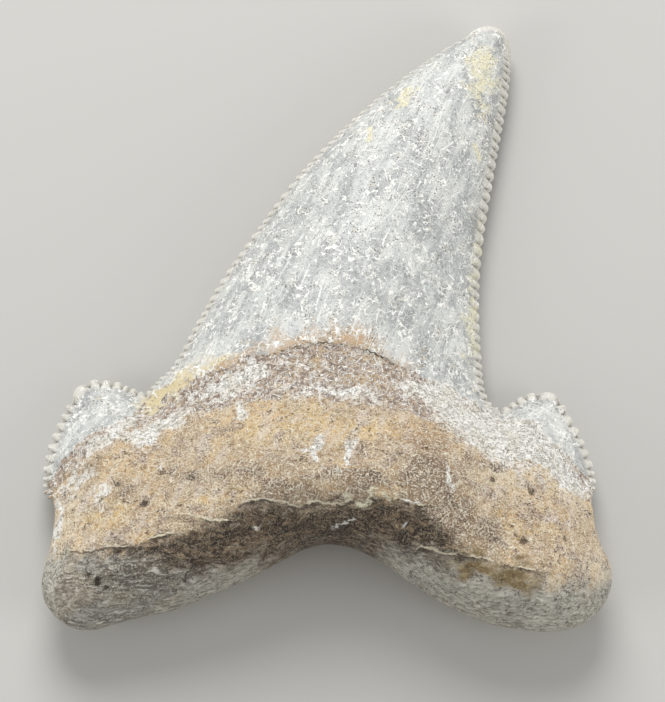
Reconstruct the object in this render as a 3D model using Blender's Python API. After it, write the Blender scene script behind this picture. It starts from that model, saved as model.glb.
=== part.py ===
"""Fossil shark tooth: a broad serrated crown between two small cusplets, on a root with two lobes.

A tooth grows in one piece, so this is one closed solid. It lies on its flat labial face with the
rounded lingual face up. X runs across the root, Y from the root to the tip and Z up, and the origin
is under the middle of the tooth. Lengths are in millimetres until the mesh is made in metres.
"""
import math

import bmesh
import bpy
import numpy as np
from mathutils import Vector
from mathutils.geometry import delaunay_2d_cdt

MM = 0.001

# The outline seen from above, clockwise from the notch left of the crown. Serrated stretches follow
# the middle height of their denticles.
CROWN_LEFT = ((-21.3, -9.3), (-20.0, -7.8), (-18.3, -6.1), (-16.1, -1.9), (-12.9, 4.3), (-8.4, 11.4),
              (-3.5, 18.5), (2.2, 25.0), (8.8, 31.2), (14.0, 35.2), (16.6, 36.8))
WORN_TIP = ((18.8, 37.7), (20.6, 37.8), (21.9, 37.2), (22.5, 35.8))
CROWN_RIGHT = ((22.4, 33.8), (21.9, 29.5), (20.8, 23.5), (19.5, 16.3), (18.5, 10.4), (17.9, 4.6),
               (17.8, -1.0), (18.0, -5.5), (18.3, -8.6), (19.0, -10.5), (20.3, -11.4))
CUSPLET_RIGHT = ((20.3, -11.4), (21.8, -10.3), (23.3, -9.5), (24.9, -9.2), (26.4, -9.4), (27.4, -10.4),
                 (28.1, -12.0), (29.2, -14.1), (30.2, -16.8), (30.8, -19.4), (30.6, -21.6))
ROOT = ((30.3, -22.6), (30.3, -24.4), (30.5, -26.7), (31.0, -28.6), (31.9, -30.6), (32.1, -32.7),
        (31.4, -34.9), (29.8, -36.8), (27.6, -38.0), (24.9, -38.4), (21.4, -38.1), (17.7, -37.3),
        (14.0, -35.7), (10.6, -33.7), (7.6, -31.5), (4.9, -29.8), (2.4, -28.8), (0.0, -28.5),
        (-2.4, -29.0), (-4.8, -30.2), (-7.4, -31.6), (-10.8, -33.2), (-14.0, -34.6), (-17.7, -36.0),
        (-21.0, -36.7), (-23.9, -37.5), (-26.3, -38.2), (-28.5, -38.0), (-30.5, -36.8),
        (-31.8, -35.0), (-32.2, -33.0), (-31.9, -31.0), (-31.4, -29.0), (-31.1, -26.5),
        (-31.1, -24.0))
CUSPLET_LEFT = ((-31.5, -22.8), (-32.4, -20.9), (-32.5, -18.7), (-32.0, -15.6), (-30.9, -12.4),
                (-29.8, -10.0), (-28.9, -8.4), (-27.5, -7.8), (-26.0, -7.8), (-24.3, -8.1),
                (-22.7, -8.8), (-21.3, -9.3))

# Denticles on each serrated stretch, and how far one stands out as a share of its width.
DENTICLES = {"crown left": 54, "crown right": 38, "cusplet right": 16, "cusplet left": 21}
DENTICLE_RISE = {"crown left": 0.36, "crown right": 0.36, "cusplet right": 0.42, "cusplet left": 0.46}
DENTICLE_PROFILE = ((0.0, 0.0), (0.25, 0.8), (0.5, 1.0), (0.75, 0.8))
DENTICLE_SPREAD = 0.22
MIDDLE_SWELL = 0.7
BEAD_ROUNDING = 0.5
BEAD_HALF_THICKNESS = 0.4

# Heights above the labial face.
CUTTING_EDGE_HEIGHT = 2.3
ROOT_EDGE_HEIGHT = 5.6
ARCH_EDGE_RISE = 1.6
CROWN_RISE = ((-40, 10.4), (-10, 9.6), (4, 8.4), (18, 6.5), (28, 4.8), (35, 2.9), (39, 1.6))
CROWN_FULLNESS = 0.85
CREST = ((-33, -29.6, 8.6), (-25, -28.4, 11.2), (-16, -26.6, 13.4), (-7.5, -25.0, 15.9),
         (0.5, -24.3, 17.0), (8, -24.5, 16.8), (16, -26.3, 14.7), (24, -29.0, 12.2), (33, -32.0, 9.4))
CREST_FALL = 0.62
CREST_REACH = 18.0
LENS_LEFT_END = (-26.0, -30.0)
LENS_RIGHT_END = (25.0, -30.0)
ROOT_EDGE_START = -19.0
ROOT_EDGE_BLEND = 6.0
ARCH_HALF_WIDTH = 8.0
BLEND_POWER = 6
WEDGE_WIDTH = 9.0
ROOT_ROUNDING = 7.0
LABIAL_ROOT_ROUNDING = 6.0

# The enamel's foot, as a line across the tooth, and the lower side of the bare band under it.
ENAMEL_FOOT = ((-32, -20.4), (-28.4, -16.2), (-25, -14.6), (-22.5, -12.8), (-20.7, -10.2),
               (-14.8, -9.1), (-11.3, -8.6), (-9.1, -7.7), (-5.4, -7.3), (-2.3, -6.5), (1.6, -6.5),
               (4.4, -7.1), (7.5, -8.3), (11.7, -10.1), (18.6, -12.4), (23, -15.0), (29, -19.0),
               (32, -22.0))
BAND_FOOT = ((-32, -22.5), (-28.4, -18.6), (-22.5, -15.5), (-16.9, -14.3), (-9.6, -13.6),
             (-3.5, -13.2), (4.6, -14.5), (10, -15.7), (16, -17.7), (23.2, -18.8), (32, -23.6))
ENAMEL_THICKNESS = 0.35
BAND_DEPTH = 0.25
LEDGE_WIDTH = 0.4
BAND_BLEND = 1.5
RELIEF_FADE = 2.0

# Where the lingual face of the root breaks over into its basal face, and the lip along it.
LEFT_RIDGE = ((-27.5, -30.8), (-24.2, -30.4), (-19.6, -29.8), (-16.5, -29.4), (-12.3, -28.0),
              (-8.9, -26.4), (-4.8, -26.6), (0.0, -26.3), (6.8, -26.1), (10.5, -26.8))
RIGHT_RIDGE = ((9.9, -30.2), (13.2, -31.1), (16.8, -31.5), (20.4, -32.2), (24.8, -33.0))
RIDGE_LIP = 0.3
RIDGE_WIDTH = 0.9

# Broad swellings and hollows of the root and crown: place, radius and height.
LUMPS = ((-24.0, -32.5, 4.5, 0.7), (25.5, -33.5, 5.0, 0.8), (-12.0, -22.0, 4.0, 0.35),
         (12.5, -22.5, 4.0, 0.4), (0.0, -18.5, 4.5, -0.35), (20.5, -27.0, 3.5, -0.4),
         (-19.5, -23.0, 3.5, -0.3), (4.0, 3.0, 5.0, 0.25), (-7.0, -1.0, 4.5, -0.2),
         (12.0, -5.0, 4.5, 0.3), (15.0, 24.0, 3.5, 0.2), (-25.5, -19.0, 2.5, 0.3))

# Mesh spacing.
ROOT_SPACING = 1.25
ROOT_RINGS = (0.3, 1.1, 2.3)
TIP_SPACING = 0.7
TIP_RINGS = (0.25, 0.8)
LATTICE_SPACING = 1.45
LABIAL_LATTICE_SPACING = 2.4
HEART_DEPTH = 0.42
FIRST_RING = 0.55
RING_CLEARANCE = 0.8
LINE_CLEARANCE = 0.7
LINE_SPACING = 1.4
FINE_STEP = 24

ENAMEL_AND_ROOT_COLOUR = (0.42, 0.37, 0.30, 1.0)


def clear_scene():
    """Remove everything that a new file starts with."""
    for item in list(bpy.data.objects):
        bpy.data.objects.remove(item, do_unlink=True)


def smooth_curve(knots):
    """A cubic curve through the knots, with slopes weighted by the chords on both sides."""
    p = np.asarray(knots, float)
    chord = np.diff(p, axis=0)
    h = np.linalg.norm(chord, axis=1)[:, None]
    slope = chord / h
    middle = (slope[:-1] * h[1:] + slope[1:] * h[:-1]) / (h[1:] + h[:-1])
    m = np.vstack([slope[:1], middle, slope[-1:]])
    t = np.linspace(0, 1, FINE_STEP, endpoint=False)[None, :, None]
    start = (2 * t**3 - 3 * t**2 + 1) * p[:-1, None] + (t**3 - 2 * t**2 + t) * (h * m[:-1])[:, None]
    end = (3 * t**2 - 2 * t**3) * p[1:, None] + (t**3 - t**2) * (h * m[1:])[:, None]
    return np.vstack([(start + end).reshape(-1, p.shape[1]), p[-1:]])


def arc_lengths(path):
    """The distance along the path to each of its points."""
    return np.concatenate([[0], np.cumsum(np.linalg.norm(np.diff(path, axis=0), axis=1))])


def at_length(path, lengths, offsets=0.0):
    """Points at these distances along a clockwise path, moved outward by the offsets."""
    s = arc_lengths(path)
    tangent = np.gradient(path, s, axis=0)
    x, y, tx, ty = (np.interp(lengths, s, c) for c in (*path.T, *tangent.T))
    scale = offsets / np.hypot(tx, ty)
    return np.column_stack([x - ty * scale, y + tx * scale])


def smoothstep(t):
    """A smooth rise from 0 to 1 as t goes from 0 to 1."""
    t = np.clip(t, 0, 1)
    return t * t * (3 - 2 * t)


def distance(points, path):
    """The shortest distance from each point to an open path."""
    start = path[:-1]
    step = path[1:] - start
    offset = points[:, None] - start
    t = np.clip((offset * step).sum(-1) / (step * step).sum(-1), 0, 1)
    return np.linalg.norm(offset - t[..., None] * step, axis=-1).min(axis=1)


def inside(points, loop):
    """Whether each point lies inside the closed loop, by counting the sides that it crosses."""
    x1, y1 = loop.T
    x2, y2 = np.roll(loop, -1, axis=0).T
    x, y = points[:, :1], points[:, 1:]
    spans = (y1 > y) != (y2 > y)
    rise = np.where(y2 == y1, 1, y2 - y1)
    crossings = spans & (x < (x2 - x1) * (y - y1) / rise + x1)
    return crossings.sum(axis=1) % 2 == 1


def denticle_bounds(name, length):
    """Where each denticle of a stretch starts: they are uneven, and the widest are midway."""
    count = DENTICLES[name]
    random = np.random.default_rng(count)
    place = (np.arange(count) + 0.5) / count
    width = 1 + MIDDLE_SWELL * np.sin(math.pi * place)
    width *= 1 + DENTICLE_SPREAD * random.uniform(-1, 1, count)
    bounds = np.concatenate([[0], np.cumsum(width)])
    return bounds * length / bounds[-1]


def serrated(path, name):
    """Outline points of a serrated stretch, and the inner points that round and back each denticle."""
    bounds = denticle_bounds(name, arc_lengths(path)[-1])
    width = np.diff(bounds)
    rise = DENTICLE_RISE[name] * width
    phase, profile = np.array(DENTICLE_PROFILE).T
    lengths = (bounds[:-1, None] + width[:, None] * phase).ravel()
    offsets = (rise[:, None] * (profile - 0.5)).ravel()
    outline = at_length(path, lengths, offsets)
    middle = bounds[:-1] + 0.5 * width
    heart = at_length(path, middle, 0.5 * rise - HEART_DEPTH * width)
    backing = at_length(path, np.concatenate([bounds[1:-1], middle]), -FIRST_RING - 0.5 * rise.mean())
    return outline, np.vstack([heart, backing])


def plain(path, spacing):
    """Evenly spaced points of a smooth line, without its last point."""
    length = arc_lengths(path)[-1]
    count = round(length / spacing)
    return at_length(path, np.arange(count) * length / count)


def plain_with_rings(path, spacing, rings):
    """Outline points of a smooth stretch, and rings of inner points that round its side."""
    length = arc_lengths(path)[-1]
    count = round(length / spacing)
    lengths = np.arange(1, count) * length / count
    return plain(path, spacing), np.vstack([at_length(path, lengths, -depth) for depth in rings])


class Plan:
    """The tooth seen from above: its serrated outline and the lines that its heights follow."""

    def __init__(self):
        crown = smooth_curve(CROWN_LEFT + WORN_TIP + CROWN_RIGHT)
        left_end = (len(CROWN_LEFT) - 1) * FINE_STEP
        right_start = (len(CROWN_LEFT) + len(WORN_TIP)) * FINE_STEP
        self.left = crown[:left_end + 1]
        self.right = crown[right_start:]
        self.root = smooth_curve((CUSPLET_RIGHT[-1],) + ROOT + (CUSPLET_LEFT[0],))
        tip = crown[left_end:right_start + 1]
        cusplet_right, cusplet_left = smooth_curve(CUSPLET_RIGHT), smooth_curve(CUSPLET_LEFT)
        self.cutting = [cusplet_left, crown, cusplet_right]
        stretches = [serrated(self.left, "crown left"),
                     plain_with_rings(tip, TIP_SPACING, TIP_RINGS),
                     serrated(self.right, "crown right"),
                     serrated(cusplet_right, "cusplet right"),
                     plain_with_rings(self.root, ROOT_SPACING, ROOT_RINGS),
                     serrated(cusplet_left, "cusplet left")]
        self.outline = np.vstack([outline for outline, _ in stretches])
        near_rim = np.vstack([inner for _, inner in stretches])
        self.near_rim = near_rim[inside(near_rim, self.outline)]

    def rim(self):
        """The outline as a closed path."""
        return np.vstack([self.outline, self.outline[:1]])


def crown_lens(plan, x, y):
    """Height of the crown over its cutting edges: a lens between its left and right edges."""
    left = np.vstack([LENS_LEFT_END, plan.left])
    right = np.vstack([plan.right, LENS_RIGHT_END])[::-1]
    low = np.interp(y, left[:, 1], left[:, 0])
    high = np.interp(y, right[:, 1], right[:, 0])
    across = (2 * x - low - high) / np.maximum(high - low, 1)
    rise = np.interp(y, *np.array(CROWN_RISE).T)
    return rise * np.maximum(1 - across**2, 0)**CROWN_FULLNESS


def edge_height(x, y):
    """Height of the outline: low along the cutting edges, and higher round the root and its arch."""
    root = smoothstep((ROOT_EDGE_START - y) / ROOT_EDGE_BLEND)
    arch = ARCH_EDGE_RISE * np.exp(-(x / ARCH_HALF_WIDTH)**2)
    return CUTTING_EDGE_HEIGHT + root * (ROOT_EDGE_HEIGHT - CUTTING_EDGE_HEIGHT + arch)


def crest_height(x, y):
    """Height of the root, which falls slowly from its crest towards the crown."""
    crest = smooth_curve(CREST)
    crest_y, top = (np.interp(x, crest[:, 0], crest[:, i]) for i in (1, 2))
    above = np.maximum(y - crest_y, 0)
    return top * (1 - CREST_FALL * (above / CREST_REACH)**1.7)


def across_line(line, x, y):
    """How far a point lies above a line that runs from left to right."""
    line = smooth_curve(line)
    return y - np.interp(x, line[:, 0], line[:, 1])


def relief(x, y, points):
    """Low relief of the lingual face: enamel over a bare band, lips along the ridges, and lumps."""
    on_enamel = smoothstep(across_line(ENAMEL_FOOT, x, y) / LEDGE_WIDTH + 0.5)
    on_root = smoothstep(-across_line(BAND_FOOT, x, y) / BAND_BLEND + 0.5)
    height = ENAMEL_THICKNESS * on_enamel - BAND_DEPTH * (1 - on_enamel) * (1 - on_root)
    for ridge in (LEFT_RIDGE, RIGHT_RIDGE):
        height += RIDGE_LIP * np.exp(-(distance(points, smooth_curve(ridge)) / RIDGE_WIDTH)**2)
    for lump_x, lump_y, radius, rise in LUMPS:
        height += rise * np.exp(-((x - lump_x)**2 + (y - lump_y)**2) / radius**2)
    return height


def rounded(t):
    """A quarter circle's rise from 0 to 1."""
    return np.sqrt(1 - (1 - np.clip(t, 0, 1))**2)


def heights(plan, points):
    """Heights of the lingual and the labial face at points inside the outline."""
    x, y = points.T
    edge = edge_height(x, y)
    cutting = np.min([distance(points, path) for path in plan.cutting], axis=0)
    wedge = 1 - (1 - np.clip(cutting / WEDGE_WIDTH, 0, 1))**2
    round_root = distance(points, plan.root)
    bead = BEAD_HALF_THICKNESS * rounded(distance(points, plan.rim()) / BEAD_ROUNDING)
    crown = crown_lens(plan, x, y)
    root = np.maximum(crest_height(x, y) - edge, 0) * wedge
    body = (crown**BLEND_POWER + root**BLEND_POWER)**(1 / BLEND_POWER)
    fade = smoothstep(cutting / RELIEF_FADE) * smoothstep(round_root / RELIEF_FADE)
    body += relief(x, y, points) * fade
    lingual = edge + bead + body * rounded(round_root / ROOT_ROUNDING)
    labial = (edge - bead) * (1 - wedge * rounded(round_root / LABIAL_ROOT_ROUNDING))
    return lingual, np.maximum(labial, 0)


def lattice(plan, spacing, lines):
    """Points of a triangular lattice inside the outline and clear of the lines drawn on it."""
    low, high = plan.outline.min(axis=0), plan.outline.max(axis=0)
    row_height = spacing * math.sqrt(3) / 2
    rows, columns = np.ceil((high - low) / (row_height, spacing)[::-1]).astype(int)[::-1]
    row, column = np.mgrid[0:rows + 1, 0:columns + 1].reshape(2, -1)
    points = np.column_stack([low[0] + spacing * (column + 0.5 * (row % 2)), low[1] + row_height * row])
    points = points[inside(points, plan.outline)]
    spread = np.linalg.norm(points[:, None] - plan.near_rim, axis=-1).min(axis=1)
    points = points[(spread > RING_CLEARANCE) & (distance(points, plan.rim()) > RING_CLEARANCE)]
    for line in lines:
        points = points[distance(points, line) > LINE_CLEARANCE]
    return points


def surface_lines():
    """The enamel's foot as the two edges of its ledge, and the ridges, as lines for mesh edges."""
    foot = smooth_curve(ENAMEL_FOOT[3:-3])
    lines = [foot + (0, side * LEDGE_WIDTH / 2) for side in (-1, 1)]
    lines += [smooth_curve(LEFT_RIDGE), smooth_curve(RIGHT_RIDGE)]
    return [plain(line, LINE_SPACING) for line in lines]


def triangulated(outline, inner, lines):
    """Triangles that fill the outline and use the inner points, with edges along the lines."""
    points = np.vstack([outline, inner] + lines)
    edges = [(i, (i + 1) % len(outline)) for i in range(len(outline))]
    first = len(outline) + len(inner)
    for line in lines:
        edges += [(i, i + 1) for i in range(first, first + len(line) - 1)]
        first += len(line)
    result = delaunay_2d_cdt([Vector(p) for p in points], edges, [], 1, 1e-5, True)
    plan_points = np.array([tuple(p) for p in result[0]])
    on_rim = np.array([min(source, default=first) < len(outline) for source in result[3]])
    faces = np.array(result[2])
    return plan_points, faces[inside(plan_points[faces].mean(axis=1), outline)], on_rim


def add_sheet(mesh, plan, rim, sheet, lingual):
    """Add one face of the tooth to the mesh, joined to the outline vertices in rim."""
    points, faces, on_rim = sheet
    top, bottom = heights(plan, points)
    z = np.where(on_rim, edge_height(*points.T), top if lingual else bottom)
    vertices = []
    for place, height, shared in zip(points, z, on_rim):
        key = tuple(np.round(place, 4))
        if shared and key in rim:
            vertices.append(rim[key])
            continue
        vertices.append(mesh.verts.new(Vector((*place, height)) * MM))
        if shared:
            rim[key] = vertices[-1]
    for face in faces:
        corners = [vertices[i] for i in face]
        mesh.faces.new(corners if lingual else corners[::-1])


def fossil_material():
    """Grey enamel and ochre root, as one plain finish."""
    material = bpy.data.materials.new("fossil enamel and root")
    material.use_nodes = True
    shader = material.node_tree.nodes["Principled BSDF"]
    shader.inputs["Base Color"].default_value = ENAMEL_AND_ROOT_COLOUR
    shader.inputs["Roughness"].default_value = 0.55
    shader.inputs["Metallic"].default_value = 0.0
    return material


def build_tooth():
    """The whole tooth: a lingual and a labial face that meet along the serrated outline."""
    plan = Plan()
    lines = surface_lines()
    front_points = np.vstack([plan.near_rim, lattice(plan, LATTICE_SPACING, lines)])
    back_points = np.vstack([plan.near_rim, lattice(plan, LABIAL_LATTICE_SPACING, [])])
    mesh = bmesh.new()
    rim = {}
    add_sheet(mesh, plan, rim, triangulated(plan.outline, front_points, lines), True)
    add_sheet(mesh, plan, rim, triangulated(plan.outline, back_points, []), False)
    bmesh.ops.recalc_face_normals(mesh, faces=mesh.faces)
    data = bpy.data.meshes.new("tooth")
    mesh.to_mesh(data)
    mesh.free()
    data.shade_smooth()
    data.materials.append(fossil_material())
    tooth = bpy.data.objects.new("tooth", data)
    bpy.context.scene.collection.objects.link(tooth)


clear_scene()
build_tooth()
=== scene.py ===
"""Fossil shark tooth: the fine surface, its mineral finish and a studio stage.

The tooth is one closed surface. Its outline runs clockwise as one ring of fine samples, and the rows
of the grid run from there, over the lingual face or under the labial face, to a three-armed line
along the middle of the crown and of the two root lobes, where opposite rows meet. Lengths are in
millimetres until the mesh is made in metres.
"""
import math

import bpy
import numpy as np
from bpy.props import FloatProperty, FloatVectorProperty, IntProperty, PointerProperty
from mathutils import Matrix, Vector


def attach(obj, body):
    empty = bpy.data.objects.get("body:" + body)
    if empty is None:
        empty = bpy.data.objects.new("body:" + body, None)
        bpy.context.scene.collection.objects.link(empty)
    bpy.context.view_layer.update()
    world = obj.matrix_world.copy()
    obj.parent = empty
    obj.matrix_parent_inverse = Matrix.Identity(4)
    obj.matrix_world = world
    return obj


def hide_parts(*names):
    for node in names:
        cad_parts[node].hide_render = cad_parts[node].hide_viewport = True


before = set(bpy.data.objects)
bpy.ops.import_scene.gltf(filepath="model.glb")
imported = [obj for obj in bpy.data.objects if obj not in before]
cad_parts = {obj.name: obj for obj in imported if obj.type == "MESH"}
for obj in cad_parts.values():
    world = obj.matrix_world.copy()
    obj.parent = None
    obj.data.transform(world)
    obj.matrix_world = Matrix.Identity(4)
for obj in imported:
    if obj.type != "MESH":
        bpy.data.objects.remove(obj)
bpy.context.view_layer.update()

bl_info = {
    "name": "Fossil shark tooth",
    "version": (1, 0, 0),
    "blender": (4, 5, 0),
    "location": "3D View > Sidebar > Tooth",
    "description": "Makes a serrated fossil shark tooth with side cusplets, and a stage to show it on",
    "category": "Add Mesh",
}

MM = 0.001
NODE = "tooth"

# ---------------------------------------------------------------- outline, as in the solid

CROWN_LEFT = (
    (-21.3, -9.3), (-20, -7.8), (-18.3, -6.1), (-16.1, -1.9), (-12.9, 4.3), (-8.4, 11.4),
    (-3.5, 18.5), (2.2, 25), (8.8, 31.2), (14, 35.2), (16.6, 36.8))
WORN_TIP = ((18.8, 37.7), (20.6, 37.8), (21.9, 37.2), (22.5, 35.8))
CROWN_RIGHT = (
    (22.4, 33.8), (21.9, 29.5), (20.8, 23.5), (19.5, 16.3), (18.5, 10.4), (17.9, 4.6), (17.8, -1),
    (18, -5.5), (18.3, -8.6), (19, -10.5), (20.3, -11.4))
CUSPLET_RIGHT = (
    (20.3, -11.4), (21.8, -10.3), (23.3, -9.5), (24.9, -9.2), (26.4, -9.4), (27.4, -10.4),
    (28.1, -12), (29.2, -14.1), (30.2, -16.8), (30.8, -19.4), (30.6, -21.6))
ROOT = (
    (30.3, -22.6), (30.3, -24.4), (30.5, -26.7), (31, -28.6), (31.9, -30.6), (32.1, -32.7),
    (31.4, -34.9), (29.8, -36.8), (27.6, -38), (24.9, -38.4), (21.4, -38.1), (17.7, -37.3),
    (14, -35.7), (10.6, -33.7), (7.6, -31.5), (4.9, -29.8), (2.4, -28.8), (0, -28.5), (-2.4, -29),
    (-4.8, -30.2), (-7.4, -31.6), (-10.8, -33.2), (-14, -34.6), (-17.7, -36), (-21, -36.7),
    (-23.9, -37.5), (-26.3, -38.2), (-28.5, -38), (-30.5, -36.8), (-31.8, -35), (-32.2, -33),
    (-31.9, -31), (-31.4, -29), (-31.1, -26.5), (-31.1, -24))
CUSPLET_LEFT = (
    (-31.5, -22.8), (-32.4, -20.9), (-32.5, -18.7), (-32, -15.6), (-30.9, -12.4), (-29.8, -10),
    (-28.9, -8.4), (-27.5, -7.8), (-26, -7.8), (-24.3, -8.1), (-22.7, -8.8), (-21.3, -9.3))
CROWN = CROWN_LEFT + WORN_TIP + CROWN_RIGHT
ROOT_SIDES = (CUSPLET_RIGHT[-1],) + ROOT + (CUSPLET_LEFT[0],)
LEFT_TIP_KNOT, APEX_KNOT, RIGHT_TIP_KNOT = 10, 12, 15
RIGHT_LOBE_KNOT, ARCH_KNOT, LEFT_LOBE_KNOT = 7, 18, 30

# Denticles on each serrated stretch, the samples of one, how far one stands out as a share of its
# width, from the stretch's start to its end, and the broad blunt one, with how much broader it is.
DENTICLES = {"crown left": 54, "crown right": 38, "cusplet right": 14, "cusplet left": 18}
DENTICLE_SAMPLES = {"crown left": 9, "crown right": 12, "cusplet right": 15, "cusplet left": 12}
DENTICLE_RISE = {"crown left": (0.42, 0.46), "crown right": (0.42, 0.42),
                 "cusplet right": (0.40, 0.54), "cusplet left": (0.95, 0.45)}
BROAD_DENTICLES = {"cusplet right": (4, 2.3), "cusplet left": (11, 2.2)}
BROADEST_RISE = 1.1
DENTICLE_POWER = 0.6
DENTICLE_SPREAD = 0.22
MIDDLE_SWELL = 0.7

# ---------------------------------------------------------------- heights, as in the solid

BEAD_ROUNDING = 0.5
BEAD_HALF_THICKNESS = 0.4
CUTTING_EDGE_HEIGHT = 2.3
ROOT_EDGE_HEIGHT = 5.6
ROOT_EDGE_START = -19.0
ROOT_EDGE_BLEND = 6.0
ARCH_EDGE_RISE = 1.6
ARCH_HALF_WIDTH = 8.0
# How high the crown stands over its cutting edges, from the root to the tip: y, rise.
CROWN_RISE = ((-40, 10.4), (-10, 9.6), (4, 8.4), (18, 6.5), (28, 4.8), (35, 2.9), (39, 1.6))
CROWN_FULLNESS = 0.85
LENS_LEFT_END = (-26, -30)
LENS_RIGHT_END = (25, -30)
# The crest of the root's swelling, from side to side: x, y, height.
CREST = (
    (-33, -29.6, 8.6), (-25, -28.4, 11.2), (-16, -26.6, 13.4), (-7.5, -25, 15.9), (0.5, -24.3, 17),
    (8, -24.5, 16.8), (16, -26.3, 14.7), (24, -29, 12.2), (33, -32, 9.4))
CREST_FALL = 0.62
CREST_POWER = 1.7
CREST_REACH = 18.0
BLEND_POWER = 6
WEDGE_WIDTH = 9.0
ROOT_ROUNDING = 7.0
LABIAL_ROOT_ROUNDING = 6.0
RELIEF_FADE = 2.0

# Where the finishes end, from side to side, the ridges, and the cracks.
ENAMEL_FOOT = (
    (-32, -20.4), (-28.4, -16.2), (-25, -14.6), (-22.5, -12.8), (-20.7, -10.2), (-14.8, -9.1),
    (-11.3, -8.6), (-9.1, -7.7), (-5.4, -7.3), (-2.3, -6.5), (1.6, -6.5), (4.4, -7.1), (7.5, -8.3),
    (11.7, -10.1), (18.6, -12.4), (23, -15), (29, -19), (32, -22))
BAND_FOOT = (
    (-32, -22.5), (-28.4, -18.6), (-22.5, -15.5), (-16.9, -14.3), (-9.6, -13.6), (-3.5, -13.2),
    (4.6, -14.5), (10, -15.7), (16, -17.7), (23.2, -18.8), (32, -23.6))
RIDGES = (
    ((-28.8, -30.3), (-26.7, -30.9), (-24.3, -30.7), (-21.5, -30.8), (-19, -29.9), (-17, -29.5),
     (-15, -29.3)),
    ((-17, -27.6), (-15.4, -27.6), (-14.3, -28), (-12.5, -28.5), (-10.9, -28.5)),
    ((-10.5, -27.3), (-8.3, -26.6), (-4.7, -26.7), (-3.1, -27), (-2.2, -26.6), (1.5, -26.6),
     (4.3, -26), (6.9, -26.3), (8.9, -26.9), (10.4, -27.2)),
    ((10.2, -31.1), (13.3, -32), (16.6, -32.4), (19.7, -33.1), (23.5, -33.7)))
LABIAL_FOOT = (
    (-32, -23), (-26, -19.5), (-20, -16.5), (-12, -14.5), (-4, -12.8), (0, -12.5), (5, -13.2),
    (12, -15.5), (18, -17.5), (24, -20), (32, -23.5))
BROWN_TOP = (
    (-32, -34), (-27, -31.8), (-23.3, -31.4), (-20.3, -30.5), (-17, -29.7), (-12.5, -28.9),
    (-10.5, -27.8), (-8.3, -27), (-3.1, -27.1), (1.5, -26.7), (6.9, -26.4), (9.5, -27.3),
    (11.5, -28.6), (13.5, -30.2), (16, -32.4), (19.5, -35.5), (32, -39))
BASAL_TOP = (
    (-32, -30.2), (-28.8, -30.7), (-26, -31.4), (-22.9, -31.8), (-20.6, -31.9), (-18.5, -32.4),
    (-15.6, -33.3), (-12.7, -32.8), (-10.7, -32.5), (-7.5, -31.4), (-5.8, -30.9), (-3.3, -30),
    (0, -29.4), (4.8, -30), (9, -31.3), (11.3, -32), (14.2, -32.6), (17.8, -33.4), (21.4, -34.2),
    (24.5, -35.2), (28.2, -34.8), (32, -32))
LOW_CRACK = (
    (-15.7, -34), (-15.3, -33.1), (-14.7, -32.8), (-12.7, -32.4), (-10.7, -32.2), (-9.4, -31.6),
    (-7.5, -31), (-5.8, -30.5))
CRACKS = (LOW_CRACK, ((-23.9, -31.4), (-23.2, -31.3), (-22.3, -31)))
SEAM = ENAMEL_FOOT[7:13]
# The step at the foot of the enamel, which fades towards the cusplets, and the bare band.
ENAMEL_THICKNESS = 0.22
LEDGE_WIDTH = 0.3
LEDGE_MIDDLE = -1.5
LEDGE_FADE = 0.7
LEDGE_FADE_SPAN = (10, 16)
BAND_DEPTH = 0.15
BAND_BLEND = 1.5
# Lips along the ridges with their widths over and under them, and grooves behind the notches.
RIDGE_LIP = 0.3
RIDGE_WIDTHS = (1.2, 0.35)
GROOVE_START = 0.25
GROOVE_REACH = 1.1
GROOVE_DEPTH = 0.3
# Broad lumps and hollows: x, y, radius, rise.
LUMPS = (
    (-24, -32.5, 4.5, 0.7), (25.5, -33.5, 5, 0.8), (-12, -22, 4, 0.35), (12.5, -22.5, 4, 0.4),
    (0, -18.5, 4.5, -0.35), (20.5, -27, 3.5, -0.4), (-19.5, -23, 3.5, -0.3), (4, 3, 5, 0.25),
    (-7, -1, 4.5, -0.2), (12, -5, 4.5, 0.3), (15, 24, 3.5, 0.2), (-25.5, -19, 2.5, 0.3))

# ---------------------------------------------------------------- fine relief

# Pits of the lingual face: x, y, radius, depth.
PITS = (
    (18.5, -23.1, 0.45, 0.45), (22.9, -24.1, 0.4, 0.4), (21.7, -30.2, 0.5, 0.45),
    (-20.4, -25.6, 0.55, 0.5), (-23.5, -22.9, 0.4, 0.35), (-15, -23.1, 0.4, 0.35),
    (-18.6, -21.8, 0.5, 0.3), (-25.4, -34.3, 0.5, 0.45), (-26.4, -33.6, 0.35, 0.3),
    (-24.5, -34.9, 0.35, 0.3), (-6.5, -15.2, 0.4, 0.25), (5.5, -24, 0.35, 0.25),
    (26.5, -29.5, 0.4, 0.3), (-28.5, -27, 0.35, 0.25))
PIT_PUSH = 0.35
PIT_NOISE_SIZE = 0.8
PIT_SEEDS = (71, 72)
PIT_POWER = 0.7
DARK_PIT_DEPTH = 0.35
PORE_SEED = 7
PORE_FIELD = ((-31, -38), (31, -13))
PORE_RADIUS = (0.22, 0.42)
PORE_DEPTH = 0.15
PORE_SHADE = 0.6
CRACK_WIDTH = 0.22
CRACK_DEPTH = 0.16
# The crease along the cutting edges, where the enamel meets the denticles.
CREASE_INSET = 1.25
CREASE_WIDTH = 0.25
CREASE_DEPTH = 0.1
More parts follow.
